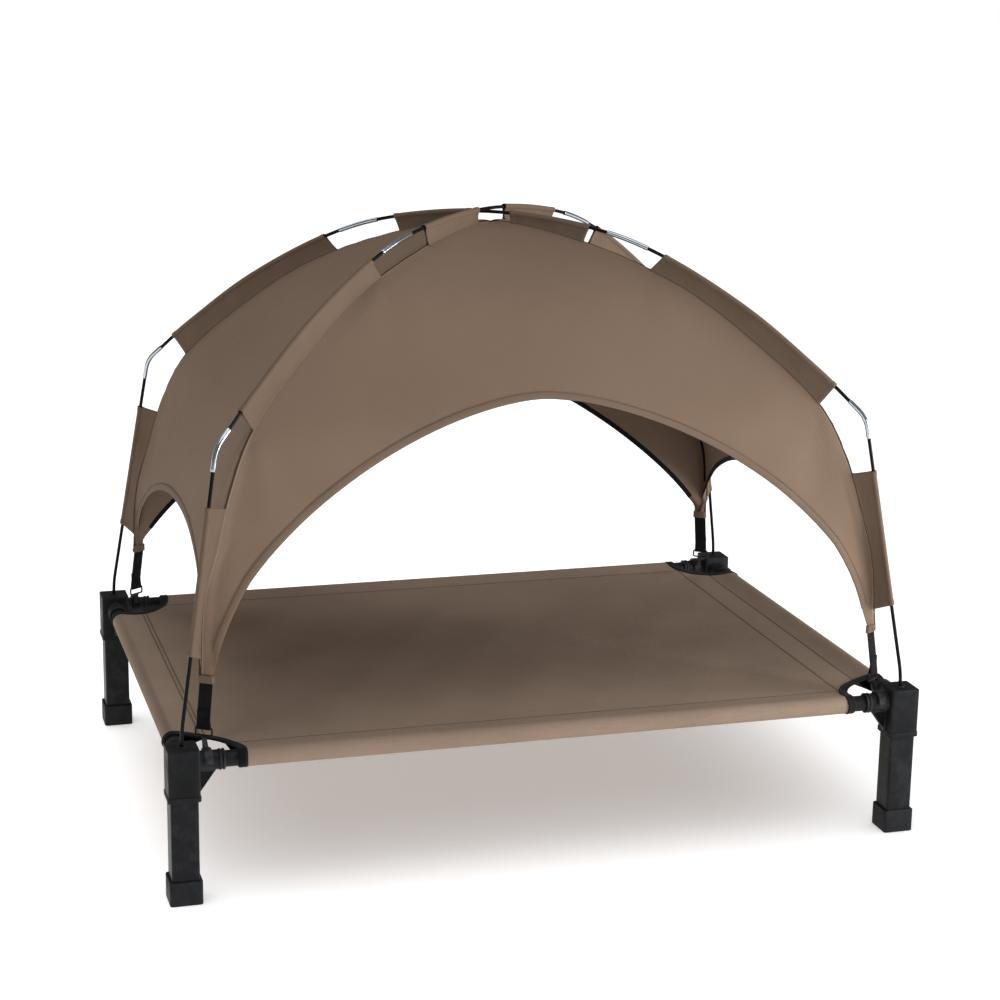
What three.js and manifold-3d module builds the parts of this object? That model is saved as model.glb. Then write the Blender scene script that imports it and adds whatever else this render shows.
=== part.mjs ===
// An elevated dog bed: a woven sheet stretched on a steel tube frame with four plug-in legs,
// and a fabric shade canopy carried by two crossed folding poles.
// Millimetres, +Z up, origin on the floor under the middle of the bed. +X runs along the long side.

import * as THREE from 'three';
import { mergeVertices } from 'three/addons/utils/BufferGeometryUtils.js';
import Module from 'manifold-3d';

const wasm = await Module();
wasm.setup();

// Whole object
const LENGTH = 1067;
const WIDTH = 762;
const HEIGHT = 863.6;
const BED_TOP = 213.4;
const GAP = 0.35; // clearance between pieces that touch

// Feet and legs
const CAP_SIDE = 44;
const CAP_HEIGHT = 33;
const CAP_FLOOR = 4;
const LEG_SIDE = 37;
const LEG_WALL = 2.2;
const SIDE_RADIUS = 3;

// Corner connectors: a square body with one spigot along X and one along Y
const BODY_SIDE = 42;
const BODY_HEIGHT = 70;
const SKIRT_HEIGHT = 7;
const LEG_PLUG = 40;
const POST_X = (LENGTH - CAP_SIDE) / 2;
const POST_Y = (WIDTH - CAP_SIDE) / 2;
const RAIL_HEIGHT = 192.5;
const SPIGOT_RADIUS = 13;
const SPIGOT_SIDES = 12;
const SPIGOT_LENGTH = 26.5;
const COLLAR_RADIUS = 14.2;
const COLLAR_LENGTH = 8.2;
const PLUG_LENGTH = 38;
const WEB_THICKNESS = 7;
const WEB_REACH = 25;
const POLE_HOLE_DEPTH = 26;
const POLE_HOLE_RADIUS = 3.4;

// Rails
const RAIL_RADIUS = 11;
const RAIL_BORE = 9.5;
const RAIL_SIDES = 16;

// Bed sheet
const SHEET_TOP = 200;
const SHEET_THICKNESS = 2.5;
const HEM_RADIUS = 12.6;
const HEM_INSET = 37;
const CUTOUT_RADIUS = 73;

// Poles and the tubes that join them
const ROD_RADIUS = 2.5;
const FERRULE_RADIUS = 3.4;
const FERRULE_BORE = 3;
const ROD_SIDES = 8;
const ELBOW_SOCKET = 12; // how far a rod enters its elbow tube
const SLEEVE_RADIUS = 4.3;
const SLEEVE_BORE = 3.4;
const FIN_THICKNESS = 1.6;
const CROWN = HEIGHT - SLEEVE_RADIUS + 0.8; // centre of the upper pole where the poles cross
const CROSSING_DROP = 2 * ROD_RADIUS + GAP; // how far the lower pole passes below the upper one

// Canopy panels
const PANEL_THICKNESS = 1.6;
const PANEL_SAG = 6;
const TIP_HEIGHT = 290;
const FRONT_ARCH = { halfWidth: 473, height: 346, power: 1.65, columns: 14 };
const BACK_ARCH = { halfWidth: 473, height: 320, power: 1.3, rounding: 75, columns: 14 };
const ROUNDED_SPAN = 150;
const SIDE_ARCH = { halfWidth: 330, height: 157, power: 2.1, columns: 10 };
const PANEL_ROWS = 11;

// Straps and their hooks
const STRAP_RADIUS = 585;
const STRAP_WIDTH = 20;
const STRAP_THICKNESS = 1.4;
const HOOK_BAR = 2.6;
const HOOK_SLOT_WIDTH = 21;
const HOOK_TOP = 229;
const HOOK_BOTTOM = 218.6;
const HOOK_WIDTH = 11.5;
const HOOK_WALL = 3.2;

const CORNERS = [
  { name: 'front_left', x: -1, y: -1 },
  { name: 'front_right', x: 1, y: -1 },
  { name: 'back_right', x: 1, y: 1 },
  { name: 'back_left', x: -1, y: 1 },
];

// The poles run over the diagonals of the frame, so they lie in upright planes through the origin.
const DIAGONAL = Math.hypot(POST_X, POST_Y);
const ACROSS = new THREE.Vector2(POST_X / DIAGONAL, POST_Y / DIAGONAL);

const canopyCloth = { color: 0x786758, roughness: 0.85, metalness: 0 };
const bedCloth = { color: 0x75685c, roughness: 0.9, metalness: 0 };
const blackPlastic = { color: 0x141416, roughness: 0.55, metalness: 0 };
const blackSteel = { color: 0x18191b, roughness: 0.35, metalness: 0.4 };
const brightSteel = { color: 0xc9ccd0, roughness: 0.2, metalness: 1 };
const blackRod = { color: 0x101113, roughness: 0.3, metalness: 0 };
const blackWebbing = { color: 0x17181b, roughness: 0.9, metalness: 0 };

const group = new THREE.Group();

function add(name, geometry, look) {
  const mesh = new THREE.Mesh(geometry, new THREE.MeshStandardMaterial(look));
  mesh.name = name;
  group.add(mesh);
}

// ---- Solids -------------------------------------------------------------------------------

function asSolid(geometry) {
  const bare = geometry.clone();
  bare.deleteAttribute('normal');
  bare.deleteAttribute('uv');
  const merged = mergeVertices(bare, 1e-4);
  return new wasm.Manifold(new wasm.Mesh({
    numProp: 3,
    vertProperties: merged.attributes.position.array,
    triVerts: new Uint32Array(merged.index.array),
  }));
}

function asGeometry(solid) {
  const mesh = solid.getMesh();
  const geometry = new THREE.BufferGeometry();
  geometry.setAttribute('position', new THREE.BufferAttribute(mesh.vertProperties, 3));
  geometry.setIndex(new THREE.BufferAttribute(mesh.triVerts, 1));
  return geometry;
}

function union(...geometries) {
  return geometries.map(asSolid).reduce((whole, piece) => whole.add(piece));
}

// Copies a piece made for the back right corner to the corner with the given signs.
function toCorner(geometry, corner) {
  const copy = geometry.index ? geometry.toNonIndexed() : geometry.clone();
  const mirror = corner.x * corner.y < 0;
  const position = copy.attributes.position;
  for (let i = 0; i < position.count; i += 1) {
    position.setXY(i, position.getX(i) * corner.x, position.getY(i) * corner.y);
  }
  if (mirror) {
    for (let i = 0; i < position.count; i += 3) {
      const second = new THREE.Vector3().fromBufferAttribute(position, i + 1);
      const third = new THREE.Vector3().fromBufferAttribute(position, i + 2);
      position.setXYZ(i + 1, third.x, third.y, third.z);
      position.setXYZ(i + 2, second.x, second.y, second.z);
    }
  }
  copy.deleteAttribute('normal');
  copy.deleteAttribute('uv');
  return mergeVertices(copy, 1e-4);
}

function roundedSquare(side, radius) {
  const flat = side / 2 - radius;
  const shape = new THREE.Shape();
  shape.absarc(flat, flat, radius, 0, Math.PI / 2);
  shape.absarc(-flat, flat, radius, Math.PI / 2, Math.PI);
  shape.absarc(-flat, -flat, radius, Math.PI, 1.5 * Math.PI);
  shape.absarc(flat, -flat, radius, 1.5 * Math.PI, 2 * Math.PI);
  return shape;
}

function squarePost(side, radius, bottom, top, bevel = 0) {
  const geometry = new THREE.ExtrudeGeometry(roundedSquare(side, radius), {
    depth: top - bottom - 2 * bevel,
    curveSegments: 2,
    bevelEnabled: bevel > 0,
    bevelThickness: bevel,
    bevelSize: bevel,
    bevelOffset: -bevel,
    bevelSegments: 1,
  });
  return geometry.translate(0, 0, bottom + bevel);
}

// A round bar along +X from the origin, from a list of [distance, radius] steps.
function turnedBar(steps, sides) {
  const profile = steps.map(([along, radius]) => new THREE.Vector2(radius, along));
  const start = new THREE.Vector2(0, steps[0][0]);
  const end = new THREE.Vector2(0, steps.at(-1)[0]);
  return new THREE.LatheGeometry([start, ...profile, end], sides).rotateZ(-Math.PI / 2);
}

function roundCut(radius, length, sides) {
  return new THREE.CylinderGeometry(radius, radius, length, sides);
}

function circle(radius) {
  return new THREE.Shape().absarc(0, 0, radius, 0, 2 * Math.PI);
}

function tubeAlong(path, steps, radius, bore, sides) {
  const section = circle(radius);
  if (bore > 0) {
    section.holes.push(new THREE.Path().absarc(0, 0, bore, 0, 2 * Math.PI, true));
  }
  return new THREE.ExtrudeGeometry(section, {
    extrudePath: path,
    steps,
    curveSegments: sides / 2,
    bevelEnabled: false,
  });
}

// Triangles for two matching grids of points, and for the band that joins their borders.
function slab(outer, inner) {
  const rows = outer.length;
  const columns = outer[0].length;
  const points = [...outer.flat(), ...inner.flat()];
  const shift = rows * columns;
  const triangles = [];
  const at = (row, column) => row * columns + column;
  const quad = (a, b, c, d) => triangles.push(a, b, c, a, c, d);
  for (let r = 0; r < rows - 1; r += 1) {
    for (let c = 0; c < columns - 1; c += 1) {
      quad(at(r, c), at(r, c + 1), at(r + 1, c + 1), at(r + 1, c));
      quad(shift + at(r, c), shift + at(r + 1, c), shift + at(r + 1, c + 1), shift + at(r, c + 1));
    }
  }
  for (let c = 0; c < columns - 1; c += 1) {
    const last = rows - 1;
    quad(at(0, c + 1), at(0, c), shift + at(0, c), shift + at(0, c + 1));
    quad(at(last, c), at(last, c + 1), shift + at(last, c + 1), shift + at(last, c));
  }
  for (let r = 0; r < rows - 1; r += 1) {
    const last = columns - 1;
    quad(at(r, 0), at(r + 1, 0), shift + at(r + 1, 0), shift + at(r, 0));
    quad(at(r + 1, last), at(r, last), shift + at(r, last), shift + at(r + 1, last));
  }
  return facingOut(points, triangles);
}

// Triangles for a hollow loft: matching rings outside and inside, joined at both ends.
function hollowLoft(outer, inner) {
  const count = outer[0].length;
  const points = [...outer.flat(), ...inner.flat()];
  const shift = outer.length * count;
  const triangles = [];
  const at = (ring, i) => ring * count + (i % count);
  const quad = (a, b, c, d) => triangles.push(a, b, c, a, c, d);
  for (let i = 0; i < count; i += 1) {
    for (let r = 0; r < outer.length - 1; r += 1) {
      quad(at(r, i), at(r, i + 1), at(r + 1, i + 1), at(r + 1, i));
      quad(shift + at(r, i), shift + at(r + 1, i), shift + at(r + 1, i + 1), shift + at(r, i + 1));
    }
    const last = outer.length - 1;
    quad(at(0, i + 1), at(0, i), shift + at(0, i), shift + at(0, i + 1));
    quad(at(last, i), at(last, i + 1), shift + at(last, i + 1), shift + at(last, i));
  }
  return facingOut(points, triangles);
}

// Makes the geometry, turned inside out if its signed volume is negative.
function facingOut(points, triangles) {
  let volume = 0;
  for (let i = 0; i < triangles.length; i += 3) {
    const [a, b, c] = [points[triangles[i]], points[triangles[i + 1]], points[triangles[i + 2]]];
    volume += a.dot(new THREE.Vector3().crossVectors(b, c));
  }
  const geometry = new THREE.BufferGeometry().setFromPoints(points);
  geometry.setIndex(volume < 0 ? triangles.reverse() : triangles);
  return geometry;
}

// ---- Frame --------------------------------------------------------------------------------

function footCap() {
  const outside = asSolid(squarePost(CAP_SIDE, SIDE_RADIUS + 1, 0, CAP_HEIGHT, 1.5));
  const socket = asSolid(squarePost(LEG_SIDE + 2 * GAP, SIDE_RADIUS, CAP_FLOOR, CAP_HEIGHT + 1));
  return asGeometry(outside.subtract(socket)).translate(POST_X, POST_Y, 0);
}

function leg() {
  const top = BED_TOP - BODY_HEIGHT + LEG_PLUG;
  const bottom = CAP_FLOOR + GAP;
  const outside = asSolid(squarePost(LEG_SIDE, SIDE_RADIUS, bottom, top));
  const inside = asSolid(squarePost(LEG_SIDE - 2 * LEG_WALL, 1.5, bottom - 1, top + 1));
  return asGeometry(outside.subtract(inside)).translate(POST_X, POST_Y, 0);
}

// A spigot along +X: a plain barrel, a double-ringed collar and the plug that enters the rail.
function spigot() {
  const rib = COLLAR_LENGTH * 0.4;
  const collarEnd = SPIGOT_LENGTH + COLLAR_LENGTH;
  const plugRadius = RAIL_BORE - 2 * GAP;
  return turnedBar([
    [-2, SPIGOT_RADIUS],
    [SPIGOT_LENGTH, SPIGOT_RADIUS],
    [SPIGOT_LENGTH, COLLAR_RADIUS],
    [SPIGOT_LENGTH + rib, COLLAR_RADIUS],
    [SPIGOT_LENGTH + rib, SPIGOT_RADIUS],
    [collarEnd - rib, SPIGOT_RADIUS],
    [collarEnd - rib, COLLAR_RADIUS],
    [collarEnd, COLLAR_RADIUS],
    [collarEnd, plugRadius],
    [collarEnd + PLUG_LENGTH, plugRadius],
  ], SPIGOT_SIDES);
}

// The triangular web under a spigot along +X, with a shallow panel sunk into each side.
function spigotWeb() {
  const top = -SPIGOT_RADIUS + 3;
  const bottom = -(RAIL_HEIGHT - (BED_TOP - BODY_HEIGHT)) + SKIRT_HEIGHT;
  const triangle = (inset, thickness) => {
    const shape = new THREE.Shape();
    shape.moveTo(inset - 2, bottom + 2 * inset);
    shape.lineTo(inset + 2, bottom + 2 * inset);
    shape.lineTo(WEB_REACH - 1.5 * inset, top - 1.4 * inset);
    shape.lineTo(inset - 2, top - 1.4 * inset);
    const plate = new THREE.ExtrudeGeometry(shape, { depth: thickness, bevelEnabled: false });
    return plate.rotateX(Math.PI / 2);
  };
  const plate = asSolid(triangle(0, WEB_THICKNESS).translate(0, WEB_THICKNESS / 2, 0));
  const sunk = triangle(3.5, 2);
  const right = asSolid(sunk.clone().translate(0, WEB_THICKNESS / 2 + 1, 0));
  const left = asSolid(sunk.clone().translate(0, -WEB_THICKNESS / 2 + 1, 0));
  return asGeometry(plate.subtract(right).subtract(left));
}

function cornerConnector() {
  const bottom = BED_TOP - BODY_HEIGHT;
  const body = squarePost(BODY_SIDE, SIDE_RADIUS, bottom, BED_TOP, 1);
  const skirt = squarePost(CAP_SIDE, SIDE_RADIUS + 1, bottom, bottom + SKIRT_HEIGHT);
  const ring = new THREE.CylinderGeometry(6.5, 7, 2.2, 12).rotateX(Math.PI / 2);
  ring.translate(0, 0, BED_TOP + 0.1);
  const arms = [];
  for (const turn of [Math.PI, -Math.PI / 2]) {
    const arm = union(spigot(), spigotWeb());
    const placed = asGeometry(arm).translate(BODY_SIDE / 2, 0, 0).rotateZ(turn);
    arms.push(placed.translate(0, 0, RAIL_HEIGHT));
  }
  const legSocket = squarePost(LEG_SIDE + 2 * GAP, SIDE_RADIUS, bottom - 1, bottom + LEG_PLUG + GAP);
  const hole = roundCut(POLE_HOLE_RADIUS, 2 * POLE_HOLE_DEPTH, ROD_SIDES);
  hole.rotateX(Math.PI / 2).translate(0, 0, BED_TOP);
  const solid = union(body, skirt, ring, ...arms)
    .subtract(asSolid(legSocket))
    .subtract(asSolid(hole));
  return asGeometry(solid).translate(POST_X, POST_Y, 0);
}

// A rail centred on the origin along X, long enough to reach both collars.
function rail(postDistance) {
  const reach = postDistance - BODY_SIDE / 2 - SPIGOT_LENGTH - COLLAR_LENGTH - GAP;
  const path = new THREE.LineCurve3(new THREE.Vector3(-reach, 0, 0), new THREE.Vector3(reach, 0, 0));
  return tubeAlong(path, 1, RAIL_RADIUS, RAIL_BORE, RAIL_SIDES);
}

// ---- Bed sheet ----------------------------------------------------------------------------

// The folded hem round a rail along X at the back edge, widest round the rail.
function hem(halfLength) {
  const top = SHEET_TOP - RAIL_HEIGHT;
  const upper = THREE.MathUtils.degToRad(82);
  const lower = THREE.MathUtils.degToRad(-63);
  const outline = new THREE.Shape();
  outline.moveTo(HEM_INSET, top);
  outline.absarc(0, 0, HEM_RADIUS, upper, 2 * Math.PI + lower);
  outline.lineTo(HEM_INSET, top - SHEET_THICKNESS);
  const strip = new THREE.ExtrudeGeometry(outline, {
    depth: 2 * halfLength,
    curveSegments: RAIL_SIDES / 3,
    bevelEnabled: false,
  });
  return strip.translate(0, 0, -halfLength).rotateX(Math.PI / 2);
}

function bedSheet() {
  const flat = new THREE.BoxGeometry(
    2 * (POST_X - HEM_INSET + 1),
    2 * (POST_Y - HEM_INSET + 1),
    SHEET_THICKNESS,
  );
  flat.translate(0, 0, SHEET_TOP - SHEET_THICKNESS / 2);
  const edges = [
    [hem(POST_Y), 0, -POST_X, 0],
    [hem(POST_Y), Math.PI, POST_X, 0],
    [hem(POST_X), Math.PI / 2, 0, -POST_Y],
    [hem(POST_X), -Math.PI / 2, 0, POST_Y],
  ].map(([strip, turn, x, y]) => strip.rotateZ(turn).translate(x, y, RAIL_HEIGHT));
  let sheet = union(flat, ...edges);
  for (const side of [-1, 1]) {
    const longBore = roundCut(RAIL_RADIUS + GAP, LENGTH, RAIL_SIDES).rotateZ(Math.PI / 2);
    longBore.rotateX(Math.PI / 2).translate(0, side * POST_Y, RAIL_HEIGHT);
    const shortBore = roundCut(RAIL_RADIUS + GAP, WIDTH, RAIL_SIDES);
    shortBore.translate(side * POST_X, 0, RAIL_HEIGHT);
    sheet = sheet.subtract(asSolid(longBore)).subtract(asSolid(shortBore));
  }
  for (const corner of CORNERS) {
    const scoop = roundCut(CUTOUT_RADIUS, 4 * HEM_RADIUS, 2 * RAIL_SIDES);
    scoop.rotateX(Math.PI / 2).translate(corner.x * POST_X, corner.y * POST_Y, RAIL_HEIGHT);
    sheet = sheet.subtract(asSolid(scoop));
  }
  return asGeometry(sheet);
}

// ---- Poles --------------------------------------------------------------------------------

// Half of a pole in its upright plane: x is the distance from the middle, y the height.
function poleProfile() {
  const arch = new THREE.SplineCurve([
    new THREE.Vector2(-148, CROWN - 15.6),
    new THREE.Vector2(0, CROWN),
    new THREE.Vector2(148, CROWN - 15.6),
    new THREE.Vector2(258, CROWN - 52),
    new THREE.Vector2(380, CROWN - 121),
    new THREE.Vector2(480, CROWN - 197),
    new THREE.Vector2(531, CROWN - 241),
  ]);
  const elbow = new THREE.Vector2(555.5, CROWN - 262.5);
  const foot = new THREE.Vector2(DIAGONAL, BED_TOP + 18);
  const tip = new THREE.Vector2(DIAGONAL, BED_TOP - POLE_HOLE_DEPTH + GAP);
  const archEnd = arch.points.at(-1);
  const bend = 16;
  const beforeElbow = elbow.clone().add(archEnd.clone().sub(elbow).setLength(bend));
  const afterElbow = elbow.clone().add(foot.clone().sub(elbow).setLength(bend));
  const beforeFoot = foot.clone().add(elbow.clone().sub(foot).setLength(bend));
  const afterFoot = foot.clone().add(tip.clone().sub(foot).setLength(bend));
  const profile = new THREE.CurvePath();
  profile.add(arch);
  profile.add(new THREE.LineCurve(archEnd, beforeElbow));
  profile.add(new THREE.QuadraticBezierCurve(beforeElbow, elbow, afterElbow));
  profile.add(new THREE.LineCurve(afterElbow, beforeFoot));
  profile.add(new THREE.QuadraticBezierCurve(beforeFoot, foot, afterFoot));
  profile.add(new THREE.LineCurve(afterFoot, tip));
  return profile;
}

// The line where two canopy panels meet, in the same upright plane.
function seamProfile() {
  return new THREE.SplineCurve([
    new THREE.Vector2(-140, 820),
    new THREE.Vector2(0, 843),
    new THREE.Vector2(140, 820),
    new THREE.Vector2(285, 766),
    new THREE.Vector2(400, 690),
    new THREE.Vector2(490, 612),
    new THREE.Vector2(534, 535),
    new THREE.Vector2(561, 452),
    new THREE.Vector2(578, 375),
    new THREE.Vector2(583, TIP_HEIGHT),
  ]);
}

const POLE = poleProfile();
const SEAM = seamProfile();

// The place along a profile, 0 to 1, where it is this far from the middle.
function placeAt(profile, distance) {
  let low = 0;
  let high = 1;
  for (let i = 0; i < 40; i += 1) {
    const middle = (low + high) / 2;
    if (profile.getPointAt(middle).x < distance) {
      low = middle;
    } else {
      high = middle;
    }
  }
  return (low + high) / 2;
}

function polePoint(place, drop) {
  const point = POLE.getPointAt(place);
  const archShare = Math.min(1, point.x / 531);
  point.y -= drop * (1 - archShare ** 2) ** 2;
  return point;
}

function inCorner(point, corner, aside = 0) {
  return new THREE.Vector3(
    corner.x * (point.x * ACROSS.x - aside * ACROSS.y),
    corner.y * (point.x * ACROSS.y + aside * ACROSS.x),
    point.y,
  );
}

// A smooth path along one half of a pole between two places on its profile.
function poleHalf(corner, drop, from, to, count) {
  const points = [];
  for (let i = 0; i <= count; i += 1) {
    const place = THREE.MathUtils.lerp(from, to, i / count);
    points.push(inCorner(polePoint(place, drop), corner));
  }
  return points;
}

function addPole(name, near, far, drop) {
  const stops = {
    middle: placeAt(POLE, 0),
    ferruleInner: placeAt(POLE, 175),
    ferruleOuter: placeAt(POLE, 235),
    elbowUpper: placeAt(POLE, 531),
    elbowLower: placeAt(POLE, 561),
  };
  const ferruleMiddle = (stops.ferruleInner + stops.ferruleOuter) / 2;
  const halfGap = 0.5 / POLE.getLength();
  const intoElbow = ELBOW_SOCKET / POLE.getLength();
  for (const corner of [near, far]) {
    const path = (from, to, count) => new THREE.CatmullRomCurve3(
      poleHalf(corner, drop, from, to, count),
      false,
      'centripetal',
    );
    const lower = path(stops.elbowLower - intoElbow, 1, 40);
    add(`lower_rod_${corner.name}`, tubeAlong(lower, 16, ROD_RADIUS, 0, ROD_SIDES), blackRod);
    const bend = path(stops.elbowUpper, stops.elbowLower, 16);
    const elbow = tubeAlong(bend, 9, FERRULE_RADIUS, FERRULE_BORE, ROD_SIDES);
    add(`elbow_tube_${corner.name}`, elbow, brightSteel);
    const middle = path(ferruleMiddle + halfGap, stops.elbowUpper + intoElbow, 24);
    add(`middle_rod_${corner.name}`, tubeAlong(middle, 16, ROD_RADIUS, 0, ROD_SIDES), blackRod);
    const joint = path(stops.ferruleInner, stops.ferruleOuter, 4);
    const ferrule = tubeAlong(joint, 3, FERRULE_RADIUS, FERRULE_BORE, ROD_SIDES);
    add(`ferrule_${corner.name}`, ferrule, brightSteel);
  }
  const half = (corner) => poleHalf(corner, drop, stops.middle, ferruleMiddle - halfGap, 8);
  const top = new THREE.CatmullRomCurve3([...half(near).reverse(), ...half(far).slice(1)]);
  add(`top_rod_${name}`, tubeAlong(top, 18, ROD_RADIUS, 0, ROD_SIDES), blackRod);
}

// ---- Canopy -------------------------------------------------------------------------------

// A sleeve: cloth folded over the pole, with both plies carried down to the seam as a fin.
// ends holds its start and end, as distances from the middle along the pole and the seam.
function poleSleeve(corner, drop, ends, steps) {
  const outer = [];
  const inner = [];
  const sides = 9;
  const half = FIN_THICKNESS / 2;
  const poleFrom = placeAt(POLE, ends.pole[0]);
  const poleTo = placeAt(POLE, ends.pole[1]);
  const seamFrom = placeAt(SEAM, ends.seam[0]);
  const seamTo = placeAt(SEAM, ends.seam[1]);
  for (let i = 0; i <= steps; i += 1) {
    const share = i / steps;
    const pole = polePoint(THREE.MathUtils.lerp(poleFrom, poleTo, share), drop);
    const seam = SEAM.getPointAt(THREE.MathUtils.lerp(seamFrom, seamTo, share));
    const down = seam.clone().sub(pole);
    const finLength = down.length() - 2 * GAP;
    down.normalize();
    const place = (along, aside) => inCorner(pole.clone().addScaledVector(down, along), corner, aside);
    const ring = [place(finLength, -half), place(finLength, half)];
    const hollow = [place(SLEEVE_BORE * 0.94, -SLEEVE_BORE * 0.3),
      place(SLEEVE_BORE * 0.94, SLEEVE_BORE * 0.3)];
    for (let k = 1; k < sides - 1; k += 1) {
      const angle = THREE.MathUtils.degToRad(20 + (320 * (k - 0.5)) / (sides - 2));
      ring.push(place(SLEEVE_RADIUS * Math.cos(angle), SLEEVE_RADIUS * Math.sin(angle)));
      hollow.push(place(SLEEVE_BORE * Math.cos(angle), SLEEVE_BORE * Math.sin(angle)));
    }
    outer.push(ring);
    inner.push(hollow);
  }
  return hollowLoft(outer, inner);
}

function archHeight(arch, distance) {
  const rounding = (arch.rounding ?? 0) * Math.exp(-((distance / ROUNDED_SPAN) ** 2));
  const share = Math.min(1, Math.hypot(distance, rounding) / arch.halfWidth);
  return TIP_HEIGHT + arch.height * (1 - share ** arch.power) ** (1 / arch.power);
}

// How far down the seam, 0 to 1, a line fanned out from the crown reaches the arch's edge.
function reachToArch(arch, fan, along) {
  let low = 0.02;
  let high = 1;
  for (let i = 0; i < 40; i += 1) {
    const middle = (low + high) / 2;
    const point = SEAM.getPointAt(middle);
    if (point.y > archHeight(arch, fan * point.x * along)) {
      low = middle;
    } else {
      high = middle;
    }
  }
  return low;
}

// One canopy panel. Level lines run straight from seam to seam and sag a little between them.
// along is the share of a diagonal distance that lies along the panel, out the share square to it.
function canopyPanel(arch, along, out, place) {
  const outer = [];
  const inner = [];
  const start = placeAt(SEAM, 4);
  const edgeGap = 0.8;
  for (let row = 0; row <= PANEL_ROWS; row += 1) {
    const outerRow = [];
    const innerRow = [];
    for (let column = 0; column <= arch.columns; column += 1) {
      const fan = Math.sin((Math.PI / 2) * ((2 * column) / arch.columns - 1));
      const reach = reachToArch(arch, fan, along);
      const u = THREE.MathUtils.lerp(start, reach, row / PANEL_ROWS);
      const point = SEAM.getPointAt(u);
      const slope = SEAM.getTangentAt(u);
      const normal = new THREE.Vector2(-slope.y, slope.x * out).normalize();
      const sag = PANEL_SAG * (1 - fan ** 2) * Math.sin(Math.PI * Math.min(1, u));
      for (const [depth, list] of [[0, outerRow], [PANEL_THICKNESS, innerRow]]) {
        const edge = point.x * out - normal.x * depth;
        const side = fan * Math.max(0.5, (edge * along) / out - edgeGap);
        list.push(place(side, edge - normal.x * sag, point.y - normal.y * (depth + sag)));
      }
    }
    outer.push(outerRow);
    inner.push(innerRow);
  }
  return slab(outer, inner);
}

// ---- Straps and hooks ---------------------------------------------------------------------

// Webbing from the canopy's tip, folded round the top bar of the hook. Drawn in the upright
// plane of the diagonal, then turned to face outwards.
function strap() {
  const loop = HOOK_BAR * 0.75 + GAP;
  const outside = loop + STRAP_THICKNESS;
  const half = STRAP_THICKNESS / 2;
  const side = Math.asin(half / outside);
  const outline = new THREE.Shape();
  outline.moveTo(half, TIP_HEIGHT - GAP - HOOK_TOP);
  outline.lineTo(-half, TIP_HEIGHT - GAP - HOOK_TOP);
  outline.absarc(0, 0, outside, Math.PI / 2 + side, 2.5 * Math.PI - side);
  outline.holes.push(new THREE.Path().absarc(0, 0, loop, 0, 2 * Math.PI, true));
  const band = new THREE.ExtrudeGeometry(outline, {
    depth: STRAP_WIDTH,
    curveSegments: 8,
    bevelEnabled: false,
  });
  band.translate(0, 0, -STRAP_WIDTH / 2).rotateX(Math.PI / 2);
  return turnOutwards(band).translate(0, 0, HOOK_TOP);
}

function turnOutwards(geometry) {
  const angle = Math.atan2(ACROSS.y, ACROSS.x);
  return geometry.rotateZ(angle).translate(STRAP_RADIUS * ACROSS.x, STRAP_RADIUS * ACROSS.y, 0);
}

// A moulded hook: a slot for the webbing, a neck, and a saddle that drops over the X spigot.
function strapHook() {
  const height = HOOK_TOP - HOOK_BOTTOM;
  const outerWidth = HOOK_SLOT_WIDTH + 2 * HOOK_BAR;
  const frame = asSolid(turnOutwards(new THREE.BoxGeometry(HOOK_BAR, outerWidth, height + HOOK_BAR)));
  const slot = asSolid(turnOutwards(new THREE.BoxGeometry(9, HOOK_SLOT_WIDTH, height - HOOK_BAR)));
  const loop = asGeometry(frame.subtract(slot)).translate(0, 0, (HOOK_TOP + HOOK_BOTTOM) / 2);

  const inside = SPIGOT_RADIUS + GAP + 0.1;
  const outside = inside + HOOK_WALL;
  const saddle = new THREE.Shape();
  saddle.absarc(0, 0, outside, 0, Math.PI);
  saddle.absarc(0, 0, inside, Math.PI, 0, true);
  const loopX = STRAP_RADIUS * ACROSS.x;
  const loopY = STRAP_RADIUS * ACROSS.y - POST_Y;
  const loopZ = HOOK_BOTTOM - RAIL_HEIGHT;
  const neck = new THREE.Shape();
  neck.moveTo(loopY + HOOK_BAR / 2, loopZ);
  neck.lineTo(loopY - HOOK_BAR / 2, loopZ);
  neck.lineTo(-outside * 0.86, outside * 0.5);
  neck.lineTo(-outside * 0.3, outside * 0.9);
  const intoX = (shape, width) => {
    const piece = new THREE.ExtrudeGeometry(shape, {
      depth: width,
      curveSegments: 8,
      bevelEnabled: false,
    });
    piece.translate(0, 0, -width / 2).rotateX(Math.PI / 2).rotateZ(Math.PI / 2);
    return piece.translate(loopX, POST_Y, RAIL_HEIGHT);
  };
  return asGeometry(union(loop, intoX(saddle, HOOK_WIDTH), intoX(neck, HOOK_WIDTH - 3)));
}

// ---- Assembly -----------------------------------------------------------------------------

for (const corner of CORNERS) {
  add(`corner_connector_${corner.name}`, toCorner(cornerConnector(), corner), blackPlastic);
  add(`leg_${corner.name}`, toCorner(leg(), corner), blackSteel);
  add(`foot_cap_${corner.name}`, toCorner(footCap(), corner), blackPlastic);
  add(`strap_${corner.name}`, toCorner(strap(), corner), blackWebbing);
  add(`strap_hook_${corner.name}`, toCorner(strapHook(), corner), blackPlastic);
}

for (const [side, sign] of [['front', -1], ['back', 1]]) {
  add(`rail_${side}`, rail(POST_X).translate(0, sign * POST_Y, RAIL_HEIGHT), blackSteel);
}
for (const [side, sign] of [['left', -1], ['right', 1]]) {
  const geometry = rail(POST_Y).rotateZ(Math.PI / 2);
  add(`rail_${side}`, geometry.translate(sign * POST_X, 0, RAIL_HEIGHT), blackSteel);
}
add('bed_sheet', bedSheet(), bedCloth);

const [frontLeft, frontRight, backRight, backLeft] = CORNERS;
addPole('upper', frontLeft, backRight, 0);
addPole('lower', frontRight, backLeft, CROSSING_DROP);

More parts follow.
